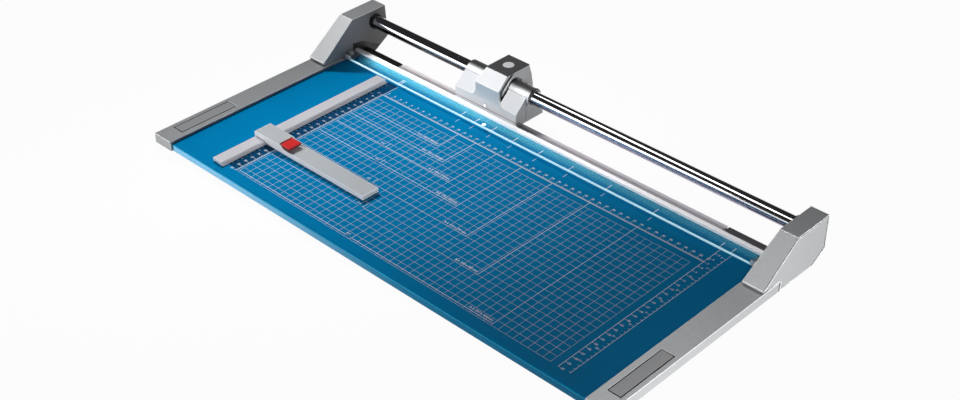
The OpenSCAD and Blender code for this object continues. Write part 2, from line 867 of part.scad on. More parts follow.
module ring_y(r_out, r_in, y0, y1) {
  difference() {
    rod_y(r_out, y0, y1);
    rod_y(r_in, y0 - 1, y1 + 1);
  }
}

module blade_spring() {
  color("silver") at_head() translate([0, 0, axle_up]) ring_y(axle_r + 1.6, axle_r + 0.4, hub_back + 0.1, clip_y - fit);
}

module blade_clip() {
  color("dimgray") at_head() translate([0, 0, axle_up]) ring_y(axle_r + 1.8, axle_r + fit, clip_y, clip_y + 1);
}

module round_blade() {
  color("lightgray") at_head() translate([0, 0, axle_up])
    ring_y(blade_d / 2, hub_r + fit, blade_y, blade_y + blade_t);
}

module blade_hub() {
  color("gold") at_head() translate([0, 0, axle_up]) difference() {
    union() {
      rod_y(hub_r, blade_y - 1, hub_back);
      rod_y(hub_flange_r, blade_y + blade_t, hub_back);
    }
    rod_y(axle_r + run_fit, -head_front, head_back);
  }
}

// Back gauge
module gauge_section() {
  polygon([
    [gauge_left, arm_bottom],
    [bar_left - slide_gap, arm_bottom],
    [bar_left - slide_gap, stop_t + slide_gap],
    [bar_top_right + slide_gap, stop_t + slide_gap],
    [bar_top_right + slide_gap, stop_ledge_t + slide_gap],
    [-stop_x + slide_gap, stop_ledge_t + slide_gap],
    [-stop_x + slide_gap, arm_bottom],
    [arm_len - stop_x, arm_bottom],
    [arm_len - stop_x, arm_top - 1],
    [arm_len - stop_x - 1, arm_top],
    [gauge_block_x + ramp_len, arm_top],
    [gauge_block_x, gauge_top],
    [gauge_left + 1, gauge_top],
    [gauge_left, gauge_top - 1]
  ]);
}

module gauge_slider() {
  color("lightgray") at_gauge() difference() {
    along_y(-gauge_w / 2, gauge_w / 2) gauge_section();
    box(gauge_block_x, lever_pin_x + lever_len, -lever_w / 2 - lever_room, lever_w / 2 + lever_room,
      arm_top - recess_depth, gauge_top + 1);
    translate([lever_pin_x + lever_len, 0, 0]) rod_z(recess_r < gauge_w / 2 - 1 ? recess_r : gauge_w / 2 - 1,
      arm_top - recess_depth, gauge_top + 1);
    translate([lever_pin_x, 0, lever_pin_z]) rod_y(lever_pin_r + fit, -gauge_w / 2 + 0.8, gauge_w / 2 - 0.8);
    box(-stop_x - 1, pad_x + pad_l + 0.9, -6, 6, arm_bottom - 1, arm_bottom + 3);
  }
}

pad_x = -stop_x + slide_gap + fit;

module gauge_lock_lever() {
  color("red") at_gauge() translate([lever_pin_x, 0, lever_pin_z]) difference() {
    union() {
      box(-lever_tail, lever_len - lever_tail - 2, -lever_w / 2, lever_w / 2, gauge_top - lever_t - lever_pin_z,
        gauge_top - lever_pin_z);
      rod_y(lever_barrel_r, -lever_w / 2, lever_w / 2);
    }
    rod_y(lever_pin_r + run_fit, -lever_w, lever_w);
  }
}

module gauge_lock_pin() {
  color("silver") at_gauge() translate([lever_pin_x, 0, lever_pin_z])
    rod_y(lever_pin_r, -gauge_w / 2 + 0.9, gauge_w / 2 - 0.9);
}

module gauge_brake_pad() {
  color("black") at_gauge() box(pad_x, pad_x + pad_l, -5.6, 5.6, arm_bottom, arm_bottom + 2.8);
}

module gauge_pad_spring() {
  color("silver") at_gauge() box(pad_x + pad_l, pad_x + pad_l + 0.8, -5, 5, arm_bottom + 0.2, arm_bottom + 2.6);
}

table_plate();
front_rail();
knife_rail();
counter_knife();
left_knife_end();
right_knife_end();
knife_screws();
table_screws();
left_end_frame();
right_end_frame();
left_label_inlay();
right_label_inlay();
left_tower();
right_tower();
left_tower_cover();
right_tower_cover();
left_tower_insert();
right_tower_insert();
guide_tube();
tube_collars();
tube_set_screws();
rubber_feet();
foot_screws();
stop_bar();
stop_bar_screws();
clamp_guide_screws();
clamp_springs();
clamp_strip();
left_clamp_bracket();
right_clamp_bracket();
head_front_cover();
head_core();
head_body();
head_cap();
head_badge();
head_bushes();
head_glides();
head_screws();
blade_axle();
blade_spring();
blade_clip();
round_blade();
blade_hub();
gauge_slider();
gauge_lock_lever();
gauge_lock_pin();
gauge_brake_pad();
gauge_pad_spring();
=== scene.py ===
"""Looks of a rolling paper trimmer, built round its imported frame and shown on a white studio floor."""

import json
import math

import bmesh
import bpy
from mathutils import Matrix, Vector

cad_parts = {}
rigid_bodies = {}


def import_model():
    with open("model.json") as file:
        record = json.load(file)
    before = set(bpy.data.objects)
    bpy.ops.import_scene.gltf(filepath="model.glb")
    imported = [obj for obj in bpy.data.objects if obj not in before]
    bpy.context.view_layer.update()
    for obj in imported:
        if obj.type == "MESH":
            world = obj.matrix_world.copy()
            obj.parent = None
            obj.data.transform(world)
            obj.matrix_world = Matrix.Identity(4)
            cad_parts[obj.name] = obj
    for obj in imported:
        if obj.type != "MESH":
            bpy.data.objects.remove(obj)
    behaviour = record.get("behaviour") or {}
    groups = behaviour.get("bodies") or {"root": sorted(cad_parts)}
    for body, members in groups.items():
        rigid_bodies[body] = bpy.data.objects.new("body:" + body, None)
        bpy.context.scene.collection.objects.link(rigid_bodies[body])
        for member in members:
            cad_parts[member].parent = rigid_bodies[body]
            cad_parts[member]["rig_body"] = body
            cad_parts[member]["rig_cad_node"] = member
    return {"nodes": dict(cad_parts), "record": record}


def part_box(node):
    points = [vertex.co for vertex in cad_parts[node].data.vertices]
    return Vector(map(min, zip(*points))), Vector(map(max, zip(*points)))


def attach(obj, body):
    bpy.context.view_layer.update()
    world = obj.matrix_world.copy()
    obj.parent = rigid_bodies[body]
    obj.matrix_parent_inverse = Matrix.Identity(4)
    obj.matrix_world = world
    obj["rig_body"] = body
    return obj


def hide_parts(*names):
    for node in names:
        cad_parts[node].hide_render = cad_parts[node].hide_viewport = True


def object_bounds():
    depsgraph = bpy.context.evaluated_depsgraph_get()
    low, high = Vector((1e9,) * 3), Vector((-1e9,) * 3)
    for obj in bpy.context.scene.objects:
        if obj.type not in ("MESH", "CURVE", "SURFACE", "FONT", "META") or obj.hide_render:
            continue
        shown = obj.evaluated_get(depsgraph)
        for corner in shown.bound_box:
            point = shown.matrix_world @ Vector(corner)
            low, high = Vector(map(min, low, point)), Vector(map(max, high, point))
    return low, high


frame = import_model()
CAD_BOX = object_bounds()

bl_info = {
    "name": "Rolling paper trimmer",
    "version": (1, 0, 0),
    "blender": (4, 5, 0),
    "location": "View3D > Sidebar > Trimmer",
    "description": "Builds the looks of a rolling paper trimmer round its packed frame",
    "category": "Object",
}

MM = 0.001
WHITE = (1.0, 1.0, 1.0, 1.0)
NODES = frame["nodes"]
BODY_OF = {n: body for body, names in frame["record"]["behaviour"]["bodies"].items() for n in names}
SLOT_OF = {part["node"]: part["material_slot"] for part in frame["record"]["subparts"]}

# Points closer than this are one point, in metres
WELD = 2e-6

# Faces that turn by less than the first angle are one face, and by more than the second have a sharp edge
FLAT_ANGLE = math.radians(0.6)
SHARP_ANGLE = math.radians(32.0)

# An edge with a rim finish turns by this many degrees, and is this many roundings long and clear
RIM_TURN_LEAST, RIM_TURN_MOST = 25.0, 110.0
RIM_LENGTH, RIM_ROOM = 1.2, 1.5

# Depth of the bumps in the finishes, in metres
RELIEF = 0.0002

# Millimetres from the strip's front edge to its rib, and from its flat part up to the rib's top
RIB_FRONT = 17.0
RIB_HEIGHT = 3.2

# Millimetres from the cut line ahead to the towers' split, and through the wall of the head's sleeves
TOWER_SPLIT = 47.0
SLEEVE_WALL = 1.5

# Places that the printing and the pieces share, read from the frame
TABLE_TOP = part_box("table_plate")[1].z
CUT_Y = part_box("counter_knife")[1].y
STOP_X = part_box("stop_bar")[1].x
STRIP_LOW, STRIP_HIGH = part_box("clamp_strip")
STRIP_FLAT_TOP = STRIP_HIGH.z - RIB_HEIGHT * MM

# Printing in millimetres, across from the stop edge and ahead of the cut line
GRID_LEFT, GRID_RIGHT = 20.0, 500.0
GRID_BACK, GRID_FRONT = 80.0, 300.0
STEP = 10.0
INCH = 25.4
ACROSS_RULER = 70.0
LEFT_RULER, LEFT_RULER_BACK = 17.0, 44.0
CM_RULER, INCH_RULER, RIGHT_RULER_BACK = 510.0, 525.0, 36.0
CM_BACK, INCH_BACK = 40.0, 2 * INCH
STOP_MARK = 0.6
BAND_BACK, BAND_FRONT = 43.5, 298.0
DOT_PLACE, DOT_RADIUS = (160.3, 39.5), 2.8

# Rear and front ends of the marks on the table and on the strip, and a mark beside those of the formats
TABLE_MARK = (44.5, 52.0)
STRIP_MARK = (33.0, 42.8)
EXTRA_MARK = 125.0

# Letters: font size for a height of 1, and how far their outlines are thickened
FONT_SIZE = 1.4
BOLDNESS = 0.03

# Paper formats with their short and long sides
FORMATS = [
    ("A 6", 105, 148), ("B 6", 125, 176), ("A 5", 148, 210), ("B 5", 176, 250),
    ("A 4", 210, 297), ("B 4", 250, 353), ("A 3", 297, 420),
]

# Share of the way across the knife, and how bright its painted reflection bands are there
KNIFE_REFLECTION_BANDS = [
    (0.4, 1.5), (0.42, 0.3), (0.46, 0.3), (0.48, 1.5),
    (0.56, 1.5), (0.575, 0.3), (0.61, 0.3), (0.63, 1.5), (0.8, 2.1),
]


# Small tools for modelling


def deselect():
    """Clears the selection, so that operators act only on what is picked next."""
    bpy.ops.object.select_all(action="DESELECT")


def pick(*objects):
    """Selects these objects alone and makes the first one active."""
    deselect()
    for one in objects:
        one.select_set(True)
    bpy.context.view_layer.objects.active = objects[0]


def settle(piece):
    """Moves a piece's place, turn and size into its mesh."""
    pick(piece)
    bpy.ops.object.transform_apply(location=True, rotation=True, scale=True)
    return piece


def thicken(piece, height):
    """Pulls a flat piece up by a height and settles it."""
    bpy.ops.object.mode_set(mode="EDIT")
    bpy.ops.mesh.select_all(action="SELECT")
    bpy.ops.mesh.extrude_region_move(TRANSFORM_OT_translate={"value": (0, 0, height)})
    bpy.ops.mesh.select_all(action="SELECT")
    bpy.ops.mesh.normals_make_consistent(inside=False)
    bpy.ops.object.mode_set(mode="OBJECT")
    return settle(piece)


def apply_all(piece):
    """Applies the piece's modifiers in order."""
    pick(piece)
    for name in [m.name for m in piece.modifiers]:
        bpy.ops.object.modifier_apply(modifier=name)
    return piece


def join(name, parts):
    """Joins meshes into one piece of that name."""
    pick(*parts)
    if len(parts) > 1:
        bpy.ops.object.join()
    piece = bpy.context.object
    piece.name = name
    piece.data.name = name
    return piece


def paint(piece, look):
    """Gives a piece one finish all over."""
    piece.data.materials.clear()
    piece.data.materials.append(finish(look))
    return piece


def coat(look, *nodes):
    """Keeps CAD nodes as they are and gives them a finish."""
    for node in nodes:
        paint(NODES[node], look)


def retouch(piece, look, test):
    """Gives another finish to the faces whose centre and normal pass a test, in millimetres."""
    index = len(piece.data.materials)
    piece.data.materials.append(finish(look))
    for face in piece.data.polygons:
        if test(face.center / MM, face.normal):
            face.material_index = index


def show(piece, body, slot, *nodes):
    """Lets a piece ride on a body and stand for CAD nodes; its slot is not used."""
    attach(piece, body)
    if nodes:
        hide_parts(*nodes)
    return piece


def weigh_edges(piece, width, spare):
    """Marks the outer edges that have room for a rounding of that width and aren't spared."""
    form = bmesh.new()
    form.from_mesh(piece.data)
    weight = form.edges.layers.float.new("bevel_weight_edge")
    for edge in form.edges:
        if len(edge.link_faces) != 2:
            continue
        turn = math.degrees(edge.calc_face_angle_signed())
        length = edge.calc_length()
        slim = min(face.calc_area() for face in edge.link_faces) / length
        middle = (edge.verts[0].co + edge.verts[1].co) / 2 / MM
        roomy = length > RIM_LENGTH * width and slim > RIM_ROOM * width
        if RIM_TURN_LEAST < turn < RIM_TURN_MOST and roomy and not (spare and spare(middle)):
            edge[weight] = 1.0
    form.to_mesh(piece.data)
    form.free()


def skin(node, look, edge, segments=2, rim=None, spare=None):
    """Copies a CAD node, rounds its edges and shows the copy in its place.

    With a rim finish, only outer edges with room are rounded, and they take that finish.
    """
    pick(NODES[node])
    bpy.ops.object.duplicate()
    piece = bpy.context.object
    bpy.ops.object.parent_clear(type="CLEAR_KEEP_TRANSFORM")
    piece.name = node + "_skin"
    piece.data.name = piece.name
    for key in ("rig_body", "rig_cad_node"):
        if key in piece:
            del piece[key]
    bpy.ops.object.mode_set(mode="EDIT")
    bpy.ops.mesh.select_all(action="SELECT")
    bpy.ops.mesh.remove_doubles(threshold=WELD)
    bpy.ops.mesh.dissolve_limited(angle_limit=FLAT_ANGLE)
    bpy.ops.object.mode_set(mode="OBJECT")
    bpy.ops.mesh.customdata_custom_splitnormals_clear()
    paint(piece, look)
    rounding = piece.modifiers.new("edge rounding", "BEVEL")
    rounding.width = edge * MM
    rounding.segments = segments
    rounding.limit_method = "ANGLE"
    rounding.angle_limit = SHARP_ANGLE
    rounding.miter_outer = "MITER_ARC"
    if rim:
        weigh_edges(piece, edge * MM, spare)
        piece.data.materials.append(finish(rim))
        rounding.limit_method = "WEIGHT"
        rounding.miter_outer = "MITER_SHARP"
        rounding.use_clamp_overlap = False
        rounding.material = 1
    apply_all(piece)
    bpy.ops.object.shade_smooth_by_angle(angle=SHARP_ANGLE)
    flat = piece.modifiers.new("flat faces", "WEIGHTED_NORMAL")
    flat.keep_sharp = True
    flat.weight = 90
    apply_all(piece)
    return show(piece, BODY_OF[node], SLOT_OF[node], node)


# Which lamp lights which piece


def shine_only(lamp, *pieces):
    """Lets a lamp light these pieces, and those of other calls, alone."""
    linking = bpy.data.objects[lamp].light_linking
    if linking.receiver_collection is None:
        linking.receiver_collection = bpy.data.collections.new("lit by " + lamp)
    for piece in pieces:
        linking.receiver_collection.objects.link(piece)


def leave_out(collection, piece):
    """Puts a piece into a light linking collection as one that is left out."""
    collection.objects.link(piece)
    for entry in collection.collection_objects:
        entry.light_linking.link_state = "EXCLUDE"


def keep_from(piece, *lamps):
    """Keeps the light of lamps off a piece."""
    for lamp in lamps:
        linking = bpy.data.objects[lamp].light_linking
        if linking.receiver_collection is None:
            linking.receiver_collection = bpy.data.collections.new("away from " + lamp)
        leave_out(linking.receiver_collection, piece)


def pass_through(piece, lamp):
    """Lets a lamp's light pass through a clear piece without a shadow."""
    clear = bpy.data.collections.new("clear for " + lamp)
    leave_out(clear, piece)
    bpy.data.objects[lamp].light_linking.blocker_collection = clear


# Parts of the finishes


def math_node(tree, operation, first, second):
    """Adds a math node on sockets or numbers, and gives back its output."""
    node = tree.nodes.new("ShaderNodeMath")
    node.operation = operation
    for index, value in enumerate((first, second)):
        if isinstance(value, (int, float)):
            node.inputs[index].default_value = value
        else:
            tree.links.new(value, node.inputs[index])
    return node.outputs[0]


def spread(tree, noise, amount):
    """Turns noise round one half into a swing round zero of that amount."""
    centred = math_node(tree, "SUBTRACT", noise, 0.5)
    doubled = math_node(tree, "MULTIPLY", centred, 2.0)
    return math_node(tree, "MULTIPLY", doubled, amount)


def new_group(name, *inputs):
    """Starts a node group with those inputs, and with a shade and a height as outputs."""
    group = bpy.data.node_groups.new(name, "ShaderNodeTree")
    for label in inputs:
        group.interface.new_socket(name=label, in_out="INPUT", socket_type="NodeSocketFloat")
    for label in ("Shade", "Height"):
        group.interface.new_socket(name=label, in_out="OUTPUT", socket_type="NodeSocketFloat")
    start = group.nodes.new("NodeGroupInput")
    end = group.nodes.new("NodeGroupOutput")
    return group, start, end


def fine_grain_group():
    """Fine grain of sprayed or moulded surfaces: a shade round 1 and a height for a bump."""
    if "fine grain" in bpy.data.node_groups:
        return bpy.data.node_groups["fine grain"]
    group, start, end = new_group("fine grain", "Grains per Metre", "Contrast", "Patches")
    link = group.links.new
    place = group.nodes.new("ShaderNodeTexCoord")
    grain = group.nodes.new("ShaderNodeTexNoise")
    grain.inputs["Detail"].default_value = 2.0
    grain.inputs["Roughness"].default_value = 0.6
    patch = group.nodes.new("ShaderNodeTexNoise")
    patch.inputs["Scale"].default_value = 26.0
    patch.inputs["Detail"].default_value = 3.0
    link(place.outputs["Object"], grain.inputs["Vector"])
    link(place.outputs["Object"], patch.inputs["Vector"])
    link(start.outputs["Grains per Metre"], grain.inputs["Scale"])
    fine = spread(group, grain.outputs["Fac"], start.outputs["Contrast"])
    broad = spread(group, patch.outputs["Fac"], start.outputs["Patches"])
    total = math_node(group, "ADD", fine, broad)
    shade = math_node(group, "ADD", total, 1.0)
    link(shade, end.inputs["Shade"])
    link(grain.outputs["Fac"], end.inputs["Height"])
    return group


def brushing_group():
    """Fine parallel brush lines along one axis: a shade round 1 and a height for a bump."""
    if "brushing" in bpy.data.node_groups:
        return bpy.data.node_groups["brushing"]
    group, start, end = new_group("brushing", "Across X", "Across Y", "Across Z", "Contrast")
    link = group.links.new
    place = group.nodes.new("ShaderNodeTexCoord")
    stretch = group.nodes.new("ShaderNodeVectorMath")
    stretch.operation = "MULTIPLY"
    scale = group.nodes.new("ShaderNodeCombineXYZ")
    for axis in "XYZ":
        link(start.outputs["Across " + axis], scale.inputs[axis])
    link(place.outputs["Object"], stretch.inputs[0])
    link(scale.outputs["Vector"], stretch.inputs[1])
    lines = group.nodes.new("ShaderNodeTexNoise")
    lines.inputs["Scale"].default_value = 1.0
    lines.inputs["Detail"].default_value = 3.0
    link(stretch.outputs["Vector"], lines.inputs["Vector"])
    swing = spread(group, lines.outputs["Fac"], start.outputs["Contrast"])
    link(math_node(group, "ADD", swing, 1.0), end.inputs["Shade"])
    link(lines.outputs["Fac"], end.inputs["Height"])
    return group


def vary(tree, shader, group, colour, values, rough, bump):
    """Lets a group vary a finish's colour, roughness and surface height."""
    link = tree.links.new
    effect = tree.nodes.new("ShaderNodeGroup")
    effect.node_tree = group
    for key, value in values.items():
        effect.inputs[key].default_value = value
    tint = tree.nodes.new("ShaderNodeVectorMath")
    tint.operation = "SCALE"
    tint.inputs[0].default_value = colour[:3]
    link(effect.outputs["Shade"], tint.inputs["Scale"])
    link(tint.outputs["Vector"], shader.inputs["Base Color"])
    link(math_node(tree, "MULTIPLY", effect.outputs["Shade"], rough), shader.inputs["Roughness"])
    if bump:
        relief = tree.nodes.new("ShaderNodeBump")
        relief.inputs["Strength"].default_value = bump
        relief.inputs["Distance"].default_value = RELIEF
        link(effect.outputs["Height"], relief.inputs["Height"])
        link(relief.outputs["Normal"], shader.inputs["Normal"])


def tint_by(tree, shader, colour):
    """Multiplies a finish's colour by that of a socket."""
    tint = tree.nodes.new("ShaderNodeVectorMath")
    tint.operation = "MULTIPLY"
    plain = shader.inputs["Base Color"].links[0].from_socket
    tree.links.new(plain, tint.inputs[0])
    tree.links.new(colour, tint.inputs[1])
    tree.links.new(tint.outputs["Vector"], shader.inputs["Base Color"])


def along(tree, axis, low, high, start=0.0, end=1.0, smooth=True):
    """A value that goes from start to end between two places along an axis."""
    place = tree.nodes.new("ShaderNodeTexCoord")
    split = tree.nodes.new("ShaderNodeSeparateXYZ")
    tree.links.new(place.outputs["Object"], split.inputs["Vector"])
    share = tree.nodes.new("ShaderNodeMapRange")
    share.interpolation_type = "SMOOTHSTEP" if smooth else "LINEAR"
    share.inputs["From Min"].default_value = low
    share.inputs["From Max"].default_value = high
    share.inputs["To Min"].default_value = start
    share.inputs["To Max"].default_value = end
    tree.links.new(split.outputs[axis], share.inputs["Value"])
    return share.outputs["Result"]


def blend_colours(tree, share, low_colour, high_colour):
    """A colour that goes from one colour or socket to another as a share rises."""
    mix = tree.nodes.new("ShaderNodeMix")
    mix.data_type = "RGBA"
    tree.links.new(share, mix.inputs["Factor"])
    for socket, value in ((mix.inputs[6], low_colour), (mix.inputs[7], high_colour)):
        if isinstance(value, tuple):
            socket.default_value = value
        else:
            tree.links.new(value, socket)
    return mix.outputs[2]


def colours():
    """The colours that the panel shows."""
    return bpy.context.scene.trimmer_colours


def sizes():
    """The sizes that the panel shows."""
    return bpy.context.scene.trimmer_sizes


# Finishes


def grained(colour, rough, grains=1200.0, contrast=0.06, patches=0.04, bump=0.0, **plain):
    """A sprayed, moulded or plated finish, with grains per metre and plain shader values."""
    values = {"Grains per Metre": grains, "Contrast": contrast, "Patches": patches}
    return colour, rough, bump, fine_grain_group, values, plain


def brushed(colour, rough, lines, contrast, bump=0.0, **plain):
    """A brushed finish, with lines per metre across each axis and plain shader values."""
    values = {"Across " + axis: count for axis, count in zip("XYZ", lines)}
    values["Contrast"] = contrast
    return colour, rough, bump, brushing_group, values, plain


TUBE_LINES = (60.0, 900.0, 900.0)
SLEEVE_LINES = (1800.0, 30.0, 30.0)
BAR_LINES = (2200.0, 24.0, 2200.0)
KNIFE_LINES = (16.0, 1500.0, 1500.0)
# Colour of the painted glow along the strip's front edge
PAINTED_GLOW_COLOUR = (0.24, 0.82, 1.0, 1.0)
# Deep end of the painted reflection on the table's lip
LIP_DEEP = (0.0, 0.4, 0.54, 1.0)
# Painted shade on the tops of the head's sleeves
SLEEVE_TOP_SHADE = (0.03, 0.03, 0.03, 1.0)

# Grained: colour, roughness, grains per metre, contrast, patches, bump
# Brushed: colour, roughness, lines per metre, contrast, bump
FINISHES = {
    # Enamel and paint, with a painted reflection, painted highlights and painted shade among them
    "table_enamel": grained("table_blue", 0.4, 700.0, 0.05, 0.05, 0.04, Specular_IOR_Level=0.015),
    "lip_enamel": grained("lip_blue", 0.34, 700.0, 0.05, 0.05, 0.04, Specular_IOR_Level=0.1),
    "fold_enamel": grained("fold", 0.4, 700.0, 0.05, Specular_IOR_Level=0.1),
    "silver_paint": grained("silver", 0.42, 800.0, 0.26, 0.03, 0.12, Metallic=0.3),
    "silver_edge": grained("silver_edge", 0.3, 900.0, 0.16, 0.06, Metallic=0.15),
    "inner_silver": grained("inner", 0.6, 800.0, 0.2, 0.05, 0.12, Specular_IOR_Level=0.1),
    "head_silver": grained("head_silver", 0.38, 1300.0, 0.1, 0.03, 0.08, Metallic=0.15),
    "head_edge_silver": grained("head_edge", 0.3, 900.0, 0.16, 0.06, Metallic=0.15),
    "label_silver": grained("label", 0.45, 900.0, 0.12, bump=0.1),
    "rail_paint": grained("rail", 0.5, 700.0, 0.08, bump=0.1),
    # Metal, with painted reflections, highlights and shade among it
    "polished_chrome": brushed("chrome", 0.09, TUBE_LINES, 0.03, Metallic=1.0),
    "sleeve_metal": brushed("sleeve", 0.38, SLEEVE_LINES, 0.08, Metallic=0.15),
    "satin_aluminium": brushed("aluminium", 0.36, BAR_LINES, 0.08, 0.04, Metallic=0.2),
    "ledge_aluminium": brushed("ledge", 0.36, BAR_LINES, 0.08, 0.04, Metallic=0.2),
    "knife_steel": brushed("steel", 0.34, KNIFE_LINES, 0.2, 0.05, Metallic=0.4),
    "ground_steel": brushed("steel", 0.34, KNIFE_LINES, 0.16, 0.05, Metallic=0.4),
    "screw_steel": grained("screw", 0.3, 900.0, 0.08, Metallic=1.0),
    "bracket_steel": grained("bracket", 0.32, 900.0, 0.1, 0.05, Metallic=0.5),
    "bright_metal": grained("bright", 0.3, 900.0, 0.06, Metallic=0.2),
    "axle_metal": grained("frost", 0.3, 900.0, 0.04),
    "hub_brass": grained("brass", 0.3, 700.0, 0.08, 0.05, Metallic=1.0),
    # Clear strip, with a painted reflection and a painted glow
    "clear_acrylic": grained("clear", 0.16, 90.0, 0.02, 0.02),
    "frosted_edge": grained("frost", 0.3, 1800.0, 0.04, 0.03, 0.05),
    "glowing_edge": grained(
        "edge_glow", 0.2, contrast=0.03, Emission_Color=PAINTED_GLOW_COLOUR, Emission_Strength=0.28),
    # Plastic and rubber, with a painted highlight and painted shade among them
    "charcoal_plastic": grained("charcoal", 0.42, 1500.0, 0.2, bump=0.14),
    "black_plastic": grained("black", 0.5, bump=0.08),
    "brown_plastic": grained("brown", 0.5, bump=0.08),
    "bush_plastic": grained("bush", 0.45, bump=0.08),
    "gauge_plastic": grained("gauge", 0.36, contrast=0.05, bump=0.06),
    "gauge_edge": grained("gauge_edge", 0.34, contrast=0.05),
    "red_plastic": grained("red", 0.28, 800.0, 0.05, bump=0.03),
    "seam_dark": grained("black", 0.7, 900.0, 0.2, bump=0.1),
    "black_rubber": grained("black", 0.75, 900.0, 0.15, bump=0.2),
    # Ink, and the dark band beside the stop bar
    "print_ink": grained("ink", 0.5, 600.0),
    "grid_ink": grained("grid", 0.5, 600.0),
    "band_ink": grained("band", 0.45, 600.0, Specular_IOR_Level=0.05),
}


def pale_left(tree, shader):
    """Paints a reflection on the lip: pale at its left, fading to deep blue."""
    share = along(tree, "X", -0.24, 0.12)
    tint_by(tree, shader, blend_colours(tree, share, WHITE, LIP_DEEP))


def dull_underside(tree, shader):
    """Paints a darker reflection along the tube's underside, darkest near its left end."""
    low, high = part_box("guide_tube")
    level = (low.z + high.z) / 2
    share = along(tree, "X", -0.16, 0.04)
    under = blend_colours(tree, share, tuple(colours().chrome_dark), tuple(colours().chrome_under))
    upper = along(tree, "Z", level + 0.2 * MM, level + 1.8 * MM)
    tint_by(tree, shader, blend_colours(tree, upper, under, WHITE))


def worn_tops(tree, shader):
    """Paints shade along the tops of the head's sleeves, darker towards the top."""
    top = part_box("head_bushes")[1].z + SLEEVE_WALL * MM
    top_shade = along(tree, "Z", top - 4.6 * MM, top - 0.3 * MM)
    tint_by(tree, shader, blend_colours(tree, top_shade, WHITE, SLEEVE_TOP_SHADE))


def milky_rear(tree, shader):
    """Paints a reflection into the clear strip that grows towards its rib, weaker at its right end."""
    reflection_share = along(tree, "Y", STRIP_LOW.y + 3.5 * MM, STRIP_LOW.y + RIB_FRONT * MM, 0.03, 0.38)
    right_dimming = along(tree, "X", -0.15, 0.25, 1.0, 0.5)
    tree.links.new(math_node(tree, "MULTIPLY", reflection_share, right_dimming), shader.inputs["Alpha"])


def ground_bands(tree, shader):
    """Paints reflection bands on the knife: two dark lines at its front and a bright band at its ground
    edge.
    """
    across = along(tree, "Y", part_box("counter_knife")[0].y, CUT_Y, smooth=False)
    bands = tree.nodes.new("ShaderNodeValToRGB")
    steps = bands.color_ramp
    steps.elements[0].color = (1.5, 1.5, 1.5, 1)
    steps.elements[1].color = (2.1, 2.2, 2.2, 1)
    for position, level in KNIFE_REFLECTION_BANDS:
        steps.elements.new(position).color = (level, level, level, 1)
    tree.links.new(across, bands.inputs["Fac"])
    tint_by(tree, shader, bands.outputs["Color"])


CHANGES = {
    "lip_enamel": pale_left,
    "polished_chrome": dull_underside,
    "sleeve_metal": worn_tops,
    "clear_acrylic": milky_rear,
    "ground_steel": ground_bands,
}


def finish(name):
    """Makes the material of that finish, or finds the one already made."""
    label = "finish_" + name
    if label in bpy.data.materials:
        return bpy.data.materials[label]
    material = bpy.data.materials.new(label)
    material.use_nodes = True
    tree = material.node_tree
    shader = tree.nodes["Principled BSDF"]
    colour, rough, bump, group, values, plain = FINISHES[name]
    for key, value in plain.items():
        shader.inputs[key.replace("_", " ")].default_value = value
    vary(tree, shader, group(), getattr(colours(), colour), values, rough, bump)
    if name in CHANGES:
        CHANGES[name](tree, shader)
    return material


# Printing on the table


def spot(across, ahead):
    """A point so many millimetres across from the stop edge and ahead of the cut line."""
    return STOP_X + across * MM, CUT_Y - ahead * MM


def ink_bar(u0, u1, v0, v1, top=TABLE_TOP):
    """A thin printed bar between two distances across and two ahead, sunk by half the ink's height."""
    thick = sizes().ink_height
    x0, y0 = spot(u0, v1)
    x1, y1 = spot(u1, v0)
    deselect()
    bpy.ops.mesh.primitive_plane_add(size=1, location=((x0 + x1) / 2, (y0 + y1) / 2, top - thick / 2))
    bar = bpy.context.object
    bar.scale = (x1 - x0, y1 - y0, 1.0)
    return thicken(bar, thick * 1.5)


def line_across(u0, u1, v, width):
    """A printed line that runs across."""
    return ink_bar(u0, u1, v - width / 2, v + width / 2)


def line_ahead(u, v0, v1, width, top=TABLE_TOP):
    """A printed line that runs ahead."""
    return ink_bar(u - width / 2, u + width / 2, v0, v1, top)


def repeat(bar, start, end, du=0.0, dv=0.0):
    """Repeats a bar from start to end at an even step, in millimetres across or ahead."""
    copies = bar.modifiers.new("repeat", "ARRAY")
    copies.count = int((end - start) / (du + dv) + 1e-6) + 1
    copies.use_relative_offset = False
    copies.use_constant_offset = True
    copies.constant_offset_displace = (du * MM, -dv * MM, 0.0)
    return apply_all(bar)


def word(text, u, v, height, align="CENTER"):
    """A printed word whose baseline runs across, made a mesh and laid on the table."""
    deselect()
    bpy.ops.object.text_add()
    letters = bpy.context.object
    letters.data.body = text
    letters.data.size = height * FONT_SIZE * MM
    letters.data.align_x = align
    letters.data.align_y = "CENTER"
    letters.data.resolution_u = 2
    letters.data.offset = BOLDNESS * height * MM
    letters.data.extrude = sizes().ink_height / 2
    bpy.ops.object.convert(target="MESH")
    letters = bpy.context.object
    x, y = spot(u, v)
    letters.location = (x, y, TABLE_TOP + sizes().ink_height * 0.4)
    return settle(letters)


def lay(name, parts, look):
    """Joins printed parts into one piece on the table, in the light of the table's lamp."""
    piece = show(paint(join(name, parts), look), "frame", "table_enamel")
    shine_only("table lamp", piece)


# What the panel shows


def measure(label, words, value):
    """A length in millimetres."""
    return bpy.props.FloatProperty(name=label, description=words + " in millimetres", default=value)


def swatch(label, words, value):
    """An opaque colour."""
    return bpy.props.FloatVectorProperty(
        name=label, description=words, default=(*value, 1.0), subtype="COLOR", size=4, min=0.0, max=1.0)


